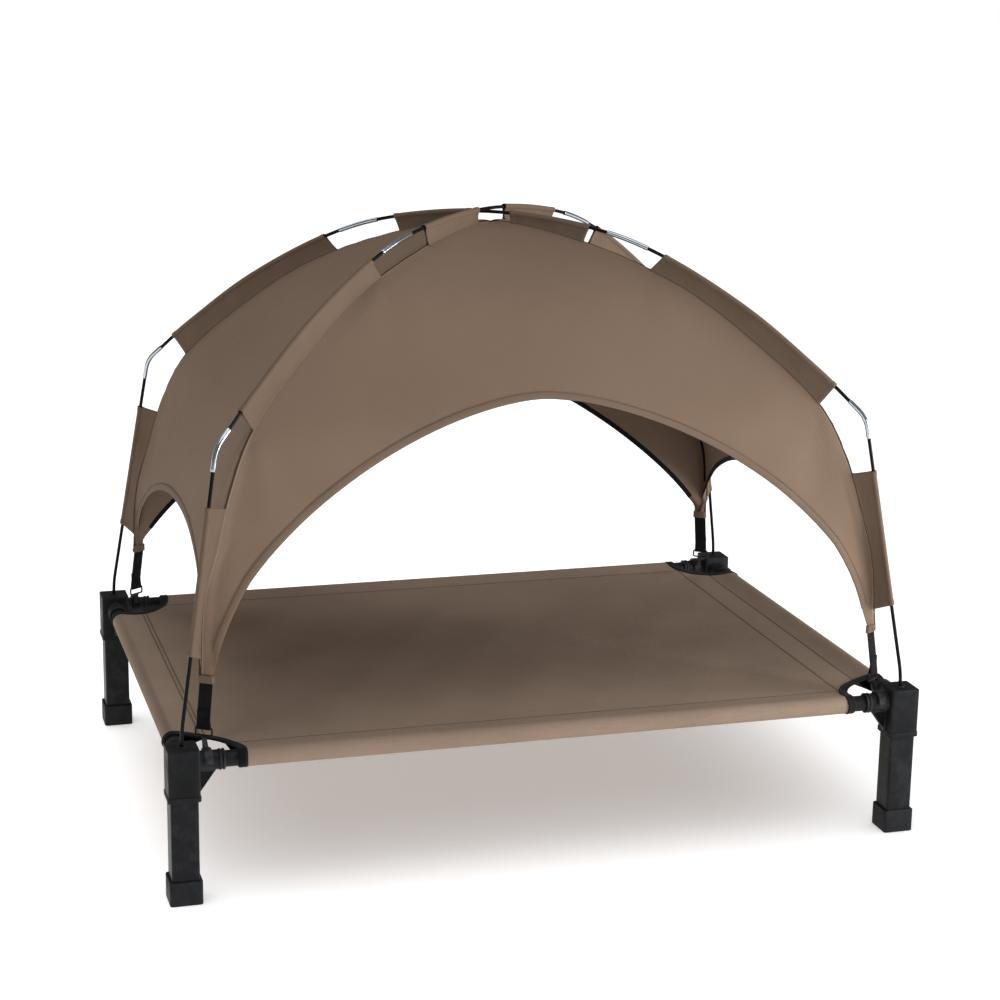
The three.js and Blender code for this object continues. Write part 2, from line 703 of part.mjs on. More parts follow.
const SLEEVES = [
  { name: 'top', pole: [30, 148], seam: [30, 140], steps: 3 },
  { name: 'middle', pole: [258, 510], seam: [240, 490], steps: 8 },
  { name: 'lower', pole: [569.7, 606], seam: [541.5, 581.4], steps: 4 },
];
for (const corner of CORNERS) {
  const drop = corner.x === corner.y ? 0 : CROSSING_DROP;
  for (const ends of SLEEVES) {
    const geometry = poleSleeve(corner, drop, ends, ends.steps);
    add(`${ends.name}_sleeve_${corner.name}`, geometry, canopyCloth);
  }
}

const { x: ALONG_X, y: ALONG_Y } = ACROSS;
for (const [side, sign, arch] of [['front', -1, FRONT_ARCH], ['back', 1, BACK_ARCH]]) {
  const place = (aside, out, up) => new THREE.Vector3(aside, sign * out, up);
  add(`canopy_panel_${side}`, canopyPanel(arch, ALONG_X, ALONG_Y, place), canopyCloth);
}
for (const [side, sign] of [['left', -1], ['right', 1]]) {
  const place = (aside, out, up) => new THREE.Vector3(sign * out, aside, up);
  add(`canopy_panel_${side}`, canopyPanel(SIDE_ARCH, ALONG_Y, ALONG_X, place), canopyCloth);
}

export default group;
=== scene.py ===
"""Looks for a raised dog bed with a shade canopy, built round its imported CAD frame. Metres, +Z up."""

import math

import bpy
import numpy as np
from mathutils import Matrix, Vector


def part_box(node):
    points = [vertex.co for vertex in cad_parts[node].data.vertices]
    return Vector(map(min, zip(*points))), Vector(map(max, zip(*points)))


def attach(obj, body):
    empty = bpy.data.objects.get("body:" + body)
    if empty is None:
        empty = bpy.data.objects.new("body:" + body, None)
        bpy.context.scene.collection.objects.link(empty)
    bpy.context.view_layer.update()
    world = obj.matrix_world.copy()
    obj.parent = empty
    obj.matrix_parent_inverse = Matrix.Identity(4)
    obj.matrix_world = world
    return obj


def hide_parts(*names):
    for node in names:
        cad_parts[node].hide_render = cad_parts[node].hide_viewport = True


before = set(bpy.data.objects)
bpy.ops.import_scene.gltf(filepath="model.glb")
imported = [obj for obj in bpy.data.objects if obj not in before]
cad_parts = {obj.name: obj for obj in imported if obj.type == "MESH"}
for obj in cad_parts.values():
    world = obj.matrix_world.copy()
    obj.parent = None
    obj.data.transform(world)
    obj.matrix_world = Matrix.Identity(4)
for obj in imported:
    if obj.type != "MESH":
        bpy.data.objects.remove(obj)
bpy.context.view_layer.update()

MM = 0.001

CORNERS = {
    "front_left": (-1, -1),
    "front_right": (1, -1),
    "back_right": (1, 1),
    "back_left": (-1, 1),
}


# ---- Sizes taken from the frame ---------------------------------------------------------------

def middle_of(node):
    low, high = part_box(node)
    return (low + high) / 2


def size_of(node):
    low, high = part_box(node)
    return high - low


POST_X = middle_of("leg_back_right").x
POST_Y = middle_of("leg_back_right").y
RAIL_Z = middle_of("rail_back").z
RAIL_RADIUS = size_of("rail_back").z / 2
LEG_SIDE = size_of("leg_back_right").x
LEG_BOTTOM, LEG_TOP = (corner.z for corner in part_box("leg_back_right"))
CAP_SIDE = size_of("foot_cap_back_right").x
CAP_HEIGHT = size_of("foot_cap_back_right").z
BODY_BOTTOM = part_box("corner_connector_back_right")[0].z
POLE_RING_HEIGHT = 1.2 * MM
BED_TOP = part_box("corner_connector_back_right")[1].z - POLE_RING_HEIGHT
DIAGONAL = math.hypot(POST_X, POST_Y)
ACROSS = (POST_X / DIAGONAL, POST_Y / DIAGONAL)

ROD_RADIUS = 2.5 * MM
FERRULE_RADIUS = 3.4 * MM
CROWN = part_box("top_rod_upper")[1].z - ROD_RADIUS
CROSSING_DROP = CROWN - (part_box("top_rod_lower")[1].z - ROD_RADIUS)
POLE_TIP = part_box("lower_rod_back_right")[0].z


# ---- Camera -----------------------------------------------------------------------------------

CAMERA_PLACE = (-0.9041, -3.1002, 1.2356)
CAMERA_TURN = (16.610, 14.054, 0.906)  # degrees: to the right, down, and rolled
SENSOR_WIDTH = 36
LENS = 80.73


def make_camera():
    """The camera stands in front and a little to the left, and looks slightly down."""
    yaw, pitch, roll = (math.radians(angle) for angle in CAMERA_TURN)
    forward = Vector((
        math.sin(yaw) * math.cos(pitch),
        math.cos(yaw) * math.cos(pitch),
        -math.sin(pitch),
    ))
    right = Vector((math.cos(yaw), -math.sin(yaw), 0))
    up = right.cross(forward)
    tilted_right = right * math.cos(roll) + up * math.sin(roll)
    tilted_up = up * math.cos(roll) - right * math.sin(roll)
    data = bpy.data.cameras.new("camera")
    data.sensor_width = SENSOR_WIDTH
    data.lens = LENS
    camera = bpy.data.objects.new("camera", data)
    bpy.context.scene.collection.objects.link(camera)
    turn = Matrix((tilted_right, tilted_up, -forward)).transposed()
    camera.matrix_world = Matrix.Translation(CAMERA_PLACE) @ turn.to_4x4()
    bpy.context.scene.camera = camera


make_camera()


# ---- Small sums -------------------------------------------------------------------------------

def unit(vectors):
    """Vectors scaled to length 1."""
    return vectors / np.linalg.norm(vectors, axis=-1, keepdims=True)


def travel_along(path):
    """The distance travelled along a path at each of its points."""
    return np.concatenate([[0], np.cumsum(np.linalg.norm(np.diff(path, axis=0), axis=1))])


def directions(path):
    """The unit direction at each point of a path."""
    return unit(np.gradient(np.asarray(path, float), axis=0))


def eased(share):
    """A share from 0 to 1 that starts and ends gently."""
    return share * share * (3 - 2 * share)


# ---- Meshes -----------------------------------------------------------------------------------

def mesh_object(name, points, faces, sharp=35):
    """A smooth-shaded mesh object whose edges sharper than this angle stay crisp."""
    mesh = bpy.data.meshes.new(name)
    mesh.from_pydata(np.asarray(points, float).reshape(-1, 3).tolist(), [], faces)
    mesh.polygons.foreach_set("use_smooth", [True] * len(mesh.polygons))
    mesh.update()
    mesh.set_sharp_from_angle(angle=math.radians(sharp))
    piece = bpy.data.objects.new(name, mesh)
    bpy.context.scene.collection.objects.link(piece)
    return piece


def loft_faces(rings, sides, start=0, capped=True):
    """Quads between closed rings of points, and a flat cap at each end."""
    faces = []
    for ring in range(rings - 1):
        for side in range(sides):
            following = (side + 1) % sides
            low = start + ring * sides
            high = low + sides
            faces.append((low + side, low + following, high + following, high + side))
    if capped:
        faces.append(tuple(start + side for side in reversed(range(sides))))
        last = start + (rings - 1) * sides
        faces.append(tuple(last + side for side in range(sides)))
    return faces


def closed_faces(rings, sides, start=0):
    """Quads between rings of points, the last of which joins the first again."""
    total = rings * sides
    return [tuple(start + index % total for index in face)
            for face in loft_faces(rings + 1, sides, capped=False)]


class Shells:
    """Collects closed shells, so that one moulded piece can be built from several."""

    def __init__(self):
        self.points = []
        self.faces = []

    def add(self, rings, capped=True):
        rings = np.asarray(rings, float)
        self.faces += loft_faces(rings.shape[0], rings.shape[1], len(self.points), capped)
        self.points += rings.reshape(-1, 3).tolist()

    def add_closed(self, rings):
        """Adds a shell whose last ring joins its first, such as a tube's wall."""
        rings = np.asarray(rings, float)
        self.faces += closed_faces(rings.shape[0], rings.shape[1], len(self.points))
        self.points += rings.reshape(-1, 3).tolist()

    def mirrored(self, signs):
        points = np.array(self.points) * (signs[0], signs[1], 1)
        faces = self.faces
        if signs[0] * signs[1] < 0:
            faces = [tuple(reversed(face)) for face in faces]
        return points, faces


def outward(points, faces):
    """The faces, turned over if they enclose a negative volume."""
    points = np.asarray(points, float)
    fans = [(face[0], *pair) for face in faces for pair in zip(face[1:-1], face[2:])]
    first, second, third = points[np.array(fans)].transpose(1, 0, 2)
    volume = np.einsum("ij,ij->", first, np.cross(second, third))
    return faces if volume > 0 else [tuple(reversed(face)) for face in faces]


def rounded_square(side, radius, corner_steps=5, side_steps=4):
    """Points round a square with round corners, anticlockwise."""
    flat = side / 2 - radius
    points = []
    for quarter in range(4):
        turn = quarter * math.pi / 2
        cos, sin = math.cos(turn), math.sin(turn)
        middle = (flat * cos - flat * sin, flat * sin + flat * cos)
        for step in range(corner_steps + 1):
            angle = turn + math.pi / 2 * step / corner_steps
            points.append((middle[0] + radius * math.cos(angle), middle[1] + radius * math.sin(angle)))
        end = points[-1]
        following = (-flat * cos - (flat + radius) * sin, -flat * sin + (flat + radius) * cos)
        for step in range(1, side_steps):
            share = step / side_steps
            points.append((
                end[0] + (following[0] - end[0]) * share,
                end[1] + (following[1] - end[1]) * share,
            ))
    return np.array(points)


def lathe_rings(profile, sides, place):
    """Rings of a turned shape. profile is a list of (along, radius); place maps a point to 3-D."""
    rings = []
    for along, radius in profile:
        angles = np.arange(sides) * 2 * math.pi / sides
        rings.append([place(along, radius * math.cos(a), radius * math.sin(a)) for a in angles])
    return rings


def tube_rings(path, radii, sides):
    """Rings round a path, without twist."""
    path = np.asarray(path, float)
    heading = directions(path)
    across = np.cross(heading[0], (0.0, 0.0, 1.0))
    if np.linalg.norm(across) < 1e-3:
        across = np.array([1.0, 0.0, 0.0])
    radii = np.broadcast_to(radii, len(path))
    angles = np.arange(sides) * 2 * math.pi / sides
    rings = []
    for point, ahead, radius in zip(path, heading, radii):
        across = unit(across - ahead * (across @ ahead))
        other = np.cross(ahead, across)
        ring = np.outer(np.cos(angles), across) + np.outer(np.sin(angles), other)
        rings.append(point + radius * ring)
    return rings


# ---- Lines of the poles and seams -------------------------------------------------------------

def catmull_rom(points, steps=40):
    """A smooth line through all the points."""
    points = np.asarray(points, float)
    padded = np.vstack([points[:1], points, points[-1:]])
    line = []
    for before, here, there, after in zip(padded, padded[1:], padded[2:], padded[3:]):
        t = (np.arange(steps) / steps)[:, None]
        slope_in, slope_out = (there - before) / 2, (after - here) / 2
        line.append(
            (2 * here - 2 * there + slope_in + slope_out) * t**3
            + (-3 * here + 3 * there - 2 * slope_in - slope_out) * t**2
            + slope_in * t + here
        )
    return np.vstack([*line, points[-1:]])


class Track:
    """A line in an upright plane: distance from the middle, and height."""

    def __init__(self, points):
        self.points = np.asarray(points, float)
        self.travel = travel_along(self.points)
        self.length = self.travel[-1]

    def at(self, travel):
        return np.stack([np.interp(travel, self.travel, self.points[:, k]) for k in (0, 1)], -1)

    def slope(self, travel, step=1.5 * MM):
        ahead = self.at(np.asarray(travel) + step) - self.at(np.asarray(travel) - step)
        return unit(ahead)

    def place(self, distance):
        """How far along the line it is this far from the middle."""
        return float(np.interp(distance, self.points[:, 0], self.travel))


def bent_corner(start, corner, end, reach, steps=12):
    """A rounded corner: its points leave the straight lines this far from the corner."""
    start, corner, end = (np.array(point, float) for point in (start, corner, end))
    first = corner + unit(start - corner) * reach
    last = corner + unit(end - corner) * reach
    t = (np.arange(steps + 1) / steps)[:, None]
    return (1 - t) ** 2 * first + 2 * t * (1 - t) * corner + t**2 * last


ARCH_END = 531 * MM
POLE_ARCH = np.array([
    (-148, -15.6), (0, 0), (148, -15.6), (258, -52), (380, -121), (480, -197), (531, -241),
]) * MM + (0, CROWN)
POLE_ELBOW = np.array((555.5 * MM, CROWN - 262.5 * MM))
POLE_FOOT = np.array((DIAGONAL, BED_TOP + 18 * MM))
POLE_BEND = 16 * MM
SEAM_POINTS = np.array([
    (-140, 820), (0, 843), (140, 820), (285, 766), (400, 690), (490, 612),
    (534, 535), (561, 452), (578, 375), (583, 290),
]) * MM
TIP_HEIGHT = SEAM_POINTS[-1][1]
TIP_DISTANCE = SEAM_POINTS[-1][0]


def pole_track():
    arch = catmull_rom(POLE_ARCH)
    arch = arch[arch[:, 0] >= -1e-9]
    tip = np.array((DIAGONAL, POLE_TIP))
    elbow = bent_corner(arch[-1], POLE_ELBOW, POLE_FOOT, POLE_BEND)
    foot = bent_corner(POLE_ELBOW, POLE_FOOT, tip, POLE_BEND)
    return Track(np.vstack([arch, elbow, foot, tip]))


def seam_track():
    line = catmull_rom(SEAM_POINTS)
    return Track(line[line[:, 0] >= -1e-9])


POLE = pole_track()
SEAM = seam_track()


def crossing_drop(corner):
    """One pole passes under the other where they cross."""
    signs = CORNERS[corner]
    return 0.0 if signs[0] == signs[1] else CROSSING_DROP


def pole_at(travel, drop):
    points = POLE.at(travel)
    share = np.minimum(1, points[..., 0] / ARCH_END)
    points[..., 1] -= drop * (1 - share**2) ** 2
    return points


def in_corner(points, corner, aside=0.0):
    """Turns (distance, height) points in a diagonal plane to 3-D, aside being square to it."""
    signs = CORNERS[corner]
    points = np.asarray(points, float)
    return np.stack([
        signs[0] * (points[..., 0] * ACROSS[0] - aside * ACROSS[1]),
        signs[1] * (points[..., 0] * ACROSS[1] + aside * ACROSS[0]),
        points[..., 1] + 0 * np.asarray(aside),
    ], -1)


def to_corner(points, corner):
    """The reverse: how far out along the diagonal a point is, and how far aside."""
    signs = CORNERS[corner]
    x, y = points[..., 0] * signs[0], points[..., 1] * signs[1]
    return x * ACROSS[0] + y * ACROSS[1], y * ACROSS[0] - x * ACROSS[1]


# ---- Materials --------------------------------------------------------------------------------

def linear(red, green, blue):
    """A display colour, 0 to 255, as linear light."""
    def channel(value):
        value /= 255
        return value / 12.92 if value <= 0.04045 else ((value + 0.055) / 1.055) ** 2.4
    return (channel(red), channel(green), channel(blue), 1)


def scaled(colour, factor, lift=0.0):
    """A colour made lighter or darker."""
    return tuple(channel * factor + lift for channel in colour[:3]) + (1,)


class Look:
    """A node material, built a node at a time."""

    def __init__(self, name, roughness, **settings):
        self.material = bpy.data.materials.new(name)
        self.material.use_nodes = True
        self.tree = self.material.node_tree
        self.shader = self.tree.nodes["Principled BSDF"]
        self.shader.inputs["Roughness"].default_value = roughness
        for socket, value in settings.items():
            self.shader.inputs[socket.replace("_", " ")].default_value = value

    def node(self, kind, output=0, options=None, **inputs):
        node = self.tree.nodes.new("ShaderNode" + kind)
        for option, value in (options or {}).items():
            setattr(node, option, value)
        for key, value in inputs.items():
            self.fill(node.inputs[int(key[1:]) if key[0] == "i" and key[1:].isdigit() else key], value)
        return node.outputs[output]

    def fill(self, socket, value):
        if isinstance(value, bpy.types.NodeSocket):
            self.tree.links.new(value, socket)
        else:
            socket.default_value = value

    def math(self, operation, first, second=0.0, third=0.0):
        return self.node("Math", 0, {"operation": operation}, i0=first, i1=second, i2=third)

    def place(self):
        return self.node("TexCoord", "Object")

    def cloth_axes(self):
        """The flat cloth's own two directions, in metres."""
        flat = self.node("UVMap", 0, {"uv_map": "Cloth"})
        split = self.node("SeparateXYZ", 0, None, Vector=flat).node
        return flat, split.outputs["X"], split.outputs["Y"]

    def noise(self, scale, detail=2.0, vector=None):
        return self.node("TexNoise", "Fac", None, Vector=vector or self.place(), Scale=scale, Detail=detail)

    def between(self, value, low, high, start=0.0, end=1.0):
        """Carries a value from one range to another, smoothly and clamped."""
        return self.node(
            "MapRange", 0, {"interpolation_type": "SMOOTHSTEP"},
            **{"Value": value, "From Min": low, "From Max": high, "To Min": start, "To Max": end},
        )

    def mix(self, share, first, second):
        mixed = self.tree.nodes.new("ShaderNodeMix")
        mixed.data_type = "RGBA"
        for socket, value in ((0, share), (6, first), (7, second)):
            self.fill(mixed.inputs[socket], value)
        return mixed.outputs[2]

    def stripe(self, axis, pitch, phase=0.0):
        """A wave from 0 to 1 along an axis in metres."""
        turned = self.math("MULTIPLY_ADD", axis, 2 * math.pi / pitch, phase)
        return self.math("MULTIPLY_ADD", self.math("SINE", turned), 0.5, 0.5)

    def line_at(self, axis, where, half_width):
        """1 on a line across an axis, fading to 0 over this distance."""
        away = self.math("ABSOLUTE", self.math("SUBTRACT", axis, where))
        return self.between(away, 0.25 * half_width, half_width, 1.0, 0.0)

    def streaks(self, stretch, scale):
        """Noise drawn out along the piece, much finer round it."""
        _, around, along = self.cloth_axes()
        drawn = self.node("CombineXYZ", 0, None, X=self.math("MULTIPLY", around, stretch), Y=along)
        return self.noise(scale, 3.0, drawn)

    def painted_edge_highlight(self, scale, low, start, end):
        """More than 0 near outside edges, in patches: where the painted edge highlight goes."""
        edge = self.node("Attribute", "Fac", {"attribute_name": "edge"})
        return self.math("MULTIPLY", edge, self.between(self.noise(scale, 3.0), low, 0.7, start, end))

    def colour(self, value):
        self.tree.links.new(value, self.shader.inputs["Base Color"])

    def rough(self, value):
        self.tree.links.new(value, self.shader.inputs["Roughness"])

    def bump(self, height, depth, after=None):
        """Adds relief: height is 0 to 1 and depth the metres that it stands for."""
        inputs = {"Height": height, "Distance": depth, "Strength": 1.0}
        if after is not None:
            inputs["Normal"] = after
        normal = self.node("Bump", 0, None, **inputs)
        self.tree.links.new(normal, self.shader.inputs["Normal"])
        return normal


WARM_SHEEN = (1, 0.86, 0.74, 1)


def canopy_cloth(name, tone=1.0, seams=False):
    """Smooth taupe polyester in a plain weave, a little uneven in tone, with painted shade along its seams
    and a painted highlight just beside it.
    """
    look = Look(name, 0.85, Sheen_Weight=0.03, Sheen_Roughness=0.4, Sheen_Tint=WARM_SHEEN,
                Specular_IOR_Level=0.08)
    _, across, along = look.cloth_axes()
    warp = look.stripe(across, 0.9 * MM)
    weft = look.stripe(along, 0.9 * MM)
    weave = look.math("ABSOLUTE", look.math("SUBTRACT", warp, weft))
    # A tone below 1 makes a darker copy of the same cloth. This paints shade on the hems, sleeves and tip
    # bands.
    base = scaled(linear(130, 110, 94), tone)
    cloud = look.between(look.noise(5.0, 3.0), 0.3, 0.7)
    tint = look.mix(cloud, scaled(base, 0.92), base)
    slub = look.between(look.noise(900.0, 2.0), 0.35, 0.75, 0.0, 0.25)
    tint = look.mix(slub, tint, scaled(base, 1.18))
    if seams:
        # Painted shade: a dark line along each seam. Painted highlight: a pale line just beside it.
        seam = look.node("Attribute", "Fac", {"attribute_name": "seam"})
        highlight_from = look.between(seam, 3.4 * MM, 4.0 * MM)
        painted_highlight = look.math("MULTIPLY", highlight_from, look.between(seam, 4.6 * MM, 5.4 * MM, 0.5, 0.0))
        tint = look.mix(painted_highlight, tint, linear(176, 153, 134))
        painted_seam_shade = look.between(seam, 2.8 * MM, 3.6 * MM, 0.85, 0.0)
        tint = look.mix(painted_seam_shade, tint, linear(46, 37, 31))
    look.colour(tint)
    look.rough(look.between(look.noise(60.0), 0.3, 0.7, 0.78, 0.9))
    soft = look.bump(look.noise(14.0, 2.0), 1.2 * MM)
    look.bump(weave, 0.1 * MM, soft)
    return look.material


def bed_cloth():
    """Heavier taupe twill, with the grooves that its lines of stitching press into it, and painted shade in
    those grooves and in the weave's hollows.
    """
    look = Look("bed_cloth", 0.9, Sheen_Weight=0.04, Sheen_Roughness=0.5, Sheen_Tint=WARM_SHEEN,
                Specular_IOR_Level=0.12)
    flat, across, along = look.cloth_axes()
    diagonal = look.math("MULTIPLY_ADD", across, 0.8, look.math("MULTIPLY", along, 0.6))
    twill = look.stripe(diagonal, 1.7 * MM)
    thread = look.stripe(look.math("SUBTRACT", across, along), 1.2 * MM)
    weave = look.math("MULTIPLY_ADD", thread, 0.35, look.math("MULTIPLY", twill, 0.65))
    cloud = look.between(look.noise(6.0, 3.0), 0.3, 0.7)
    tint = look.mix(cloud, linear(150, 130, 113), linear(160, 139, 122))
    # Painted shade: the weave's hollows are darkened.
    shade = look.math("MULTIPLY", look.math("SUBTRACT", 1.0, weave), 0.4)
    tint = look.mix(shade, tint, linear(110, 93, 80))
    fleck = look.between(look.noise(700.0, 2.0), 0.5, 0.8, 0.0, 0.4)
    tint = look.mix(fleck, tint, linear(176, 157, 141))
    grooves = None
    for axis, where in STITCH_LINES:
        line = look.line_at(across if axis == "x" else along, where, 1.6 * MM)
        grooves = line if grooves is None else look.math("MAXIMUM", grooves, line)
    streak = look.node("CombineXYZ", 0, None, X=look.math("MULTIPLY", across, 0.12), Y=along)
    slubs = look.noise(330.0, 3.0, streak)
    tint = look.mix(look.between(slubs, 0.42, 0.75, 0.0, 0.16), tint, linear(112, 95, 81))
    # Painted shade: the colour darkens along the stitching grooves.
    look.colour(look.mix(look.math("MULTIPLY", grooves, 0.25), tint, linear(66, 56, 48)))
    soft = look.bump(look.noise(9.0, 2.0, flat), 1.5 * MM)
    pressed = look.bump(look.math("SUBTRACT", 1.0, grooves), 0.8 * MM, soft)
    look.bump(weave, 0.22 * MM, pressed)
    return look.material


def ribbed_tape(name, colour, pitch, depth, ribs_along=False):
    """Narrow woven tape or webbing with its ribs."""
    look = Look(name, 0.8, Sheen_Weight=0.05, Sheen_Roughness=0.4, Specular_IOR_Level=0.12)
    _, across, along = look.cloth_axes()
    ribs = look.stripe(across if ribs_along else along, pitch)
    threads = look.stripe(along if ribs_along else across, 0.8 * MM)
    relief = look.math("MULTIPLY_ADD", ribs, 0.75, look.math("MULTIPLY", threads, 0.25))
    # The ribs' crests are paler, in patches.
    lighter = scaled(colour, 2.6, 0.006)
    pale_crests = look.math("MULTIPLY", relief, look.between(look.noise(40.0, 3.0), 0.3, 0.8, 0.25, 0.7))
    look.colour(look.mix(pale_crests, colour, lighter))
    look.bump(relief, depth)
    return look.material


def black_plastic(name, colour, roughness, grain):
    """Moulded plastic with a fine grain, paler along its outside edges: a painted highlight."""
    look = Look(name, roughness, Specular_IOR_Level=0.14)
    edge_highlight = look.painted_edge_highlight(90.0, 0.35, 0.25, 0.8)
    dusty = look.between(look.noise(16.0, 4.0), 0.35, 0.75, 0.0, 0.3)
    tint = look.mix(dusty, colour, scaled(colour, 1.3))
    # Painted highlight: outside edges are mixed towards a paler grey.
    look.colour(look.mix(edge_highlight, tint, linear(70, 71, 73)))
    look.rough(look.between(look.noise(45.0, 3.0), 0.3, 0.7, roughness - 0.08, roughness + 0.1))
    look.bump(look.noise(1400.0, 2.0), grain)
    return look.material


def powder_coat():
    """Satin black paint with a fine orange peel, and a painted highlight that makes its outside edges
    paler.
    """
    look = Look("powder_coat", 0.42, Specular_IOR_Level=0.13)
    edge_highlight = look.painted_edge_highlight(70.0, 0.4, 0.1, 0.5)
    cloud = look.between(look.noise(7.0, 3.0), 0.3, 0.7)
    tint = look.mix(cloud, linear(17, 18, 20), linear(20, 21, 23))
    # Painted highlight: outside edges are mixed towards a paler grey.
    look.colour(look.mix(edge_highlight, tint, linear(52, 53, 56)))
    look.rough(look.between(look.noise(30.0, 3.0), 0.3, 0.7, 0.38, 0.44))
    look.bump(look.noise(520.0, 2.0), 0.06 * MM)
    return look.material


def rod_gloss():
    """Black pultruded rod: glossy, with faint streaks along it."""
    look = Look("rod_gloss", 0.26, Specular_IOR_Level=0.11)
    fibres = look.streaks(60.0, 30.0)
    look.colour(look.mix(look.between(fibres, 0.35, 0.7), linear(9, 9, 10), linear(16, 17, 19)))
    look.rough(look.between(fibres, 0.3, 0.7, 0.22, 0.32))
    look.bump(fibres, 0.04 * MM)
    return look.material


def bright_plate():
    """Plated steel tube, with fine drawing marks along it and slightly dull patches."""
    look = Look("bright_plate", 0.2, Metallic=1.0)
    drawn = look.streaks(90.0, 40.0)
    dull = look.between(look.noise(50.0, 3.0), 0.35, 0.7)
    look.colour(look.mix(dull, linear(188, 197, 205), linear(172, 181, 190)))
    look.rough(look.between(look.math("MULTIPLY_ADD", drawn, 0.5, look.math("MULTIPLY", dull, 0.5)),
                            0.2, 0.8, 0.12, 0.26))
    look.bump(drawn, 0.02 * MM)
    return look.material


def sewing_thread(name, colour):
    """Twisted thread."""
    look = Look(name, 0.7, Sheen_Weight=0.2, Specular_IOR_Level=0.3)
    twist = look.between(look.noise(1500.0, 2.0), 0.35, 0.65)
    look.colour(look.mix(twist, colour, scaled(colour, 1.6)))
    look.bump(twist, 0.08 * MM)
    return look.material


# ---- Finishing touches for a piece ------------------------------------------------------------

def mark_edges(piece, sharpest=60):
    """Stores how close each point is to an outside edge, for the painted edge highlight."""
    mesh = piece.data
    normals = np.array([face.normal for face in mesh.polygons])
    centres = np.array([face.center for face in mesh.polygons])
    strength = np.zeros(len(mesh.vertices))
    neighbours = {}
    for face in mesh.polygons:
        for key in face.edge_keys:
            neighbours.setdefault(key, []).append(face.index)
    for (first, second), faces in neighbours.items():
        if len(faces) != 2:
            continue
        one, other = faces
        if (centres[other] - centres[one]) @ normals[one] > 0:
            continue
        bend = math.degrees(math.acos(max(-1, min(1, normals[one] @ normals[other]))))
        value = min(1, bend / sharpest)
        strength[first] = max(strength[first], value)
        strength[second] = max(strength[second], value)
    attribute = mesh.attributes.new("edge", "FLOAT", "POINT")
    attribute.data.foreach_set("value", strength.astype(np.float32))


def cloth_map(piece, flat):
    """Stores each point's place on the flat cloth, in metres, as a UV map."""
    mesh = piece.data
    layer = mesh.uv_layers.new(name="Cloth")
    index = np.empty(len(mesh.loops), int)
    mesh.loops.foreach_get("vertex_index", index)
    layer.data.foreach_set("uv", np.asarray(flat, np.float32)[index].ravel())


def thicken(piece, thickness, inward=True):
    solid = piece.modifiers.new("thickness", "SOLIDIFY")
    solid.thickness = thickness
    solid.offset = -1 if inward else 0
    apply_modifiers(piece)


def apply_modifiers(piece):
    graph = bpy.context.evaluated_depsgraph_get()
    mesh = bpy.data.meshes.new_from_object(piece.evaluated_get(graph))
    piece.modifiers.clear()
    piece.data = mesh


def place(piece, body, slot, material, *nodes):
    """Gives a piece its material and its body, and hides the CAD nodes that it stands for. The slot is not
    used.
    """
    piece.data.materials.clear()
    piece.data.materials.append(material)
    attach(piece, body)
    if nodes:
        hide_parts(*nodes)
    return piece


# ---- Stitching --------------------------------------------------------------------------------

STITCH_LENGTH = 3.4 * MM
STITCH_GAP = 1.1 * MM
THREAD_RADIUS = 0.38 * MM


def resample(path, spacing):
    """Points this far apart along a path, and the path's length."""
    path = np.asarray(path, float)
    travel = travel_along(path)
    count = max(2, int(round(travel[-1] / spacing)) + 1)
    wanted = np.linspace(0, travel[-1], count)
    return np.stack([np.interp(wanted, travel, path[:, k]) for k in range(path.shape[1])], -1)


class Stitching:
    """Rows of separate stitches, each a short arched thread with its ends in the cloth."""

    def __init__(self):
        self.shells = Shells()

    def row(self, path, normals):
        """path lies on the cloth; normals point out of it."""
        both = resample(np.hstack([path, normals]), (STITCH_LENGTH + STITCH_GAP) / 4)
        for start in range(0, len(both) - 3, 4):
            part = both[start:start + 4]
            out = unit(part[:, 3:])
            rise = np.array([-0.7, 0.55, 0.55, -0.7])[:, None] * THREAD_RADIUS
            points = part[:, :3] + out * rise
            self.shells.add(tube_rings(points, THREAD_RADIUS * np.array([0.6, 1, 1, 0.6]), 6))

    def build(self, name):
        faces = self.shells.faces
        return mesh_object(name, self.shells.points, faces, 60)


# ---- Frame: connectors, legs, feet, rails -----------------------------------------------------

BODY_SIDE = 42 * MM
SKIRT_HEIGHT = 7 * MM
SIDE_RADIUS = 3 * MM
LEG_PLUG = 40 * MM
SPIGOT_RADIUS = 13 * MM
SPIGOT_LENGTH = 26.5 * MM
COLLAR_RADIUS = 14.2 * MM
COLLAR_LENGTH = 8.2 * MM
PLUG_RADIUS = 8.8 * MM
PLUG_LENGTH = 38 * MM
WEB_THICKNESS = 7 * MM
WEB_REACH = 25 * MM
POLE_HOLE_RADIUS = 3.4 * MM
POLE_HOLE_DEPTH = 26 * MM
SOCKET_SIDE = LEG_SIDE + 0.7 * MM


def post_rings(steps):
    """Rings of a square post that stands in the back right corner."""
    return [ring + (POST_X, POST_Y, 0) for ring in square_rings(steps)]


def square_rings(steps):
    """Rings of a square post. steps is a list of (side, corner radius, height)."""
    rings = []
    for side, radius, height in steps:
        outline = rounded_square(side, radius)
        rings.append(np.column_stack([outline, np.full(len(outline), height)]))
    return rings


def round_rings(steps, like):
    """Circles whose points stand in the same directions as those of an outline."""
    angles = np.arctan2(like[:, 1], like[:, 0])
    return [
        np.column_stack([radius * np.cos(angles), radius * np.sin(angles), np.full(len(angles), height)])
        for radius, height in steps
    ]


def eased_edge(side, radius, height, ease, down, steps=4):
    """Steps of (side, radius, height) that round a post's end over this distance."""
    rounded = []
    for step in range(steps + 1):
        angle = math.pi / 2 * step / steps
        inset = ease * (1 - math.cos(angle))
        drop = ease * (1 - math.sin(angle))
        rounded.append((side - 2 * inset, radius - 0.6 * inset, height - down * drop))
    return rounded


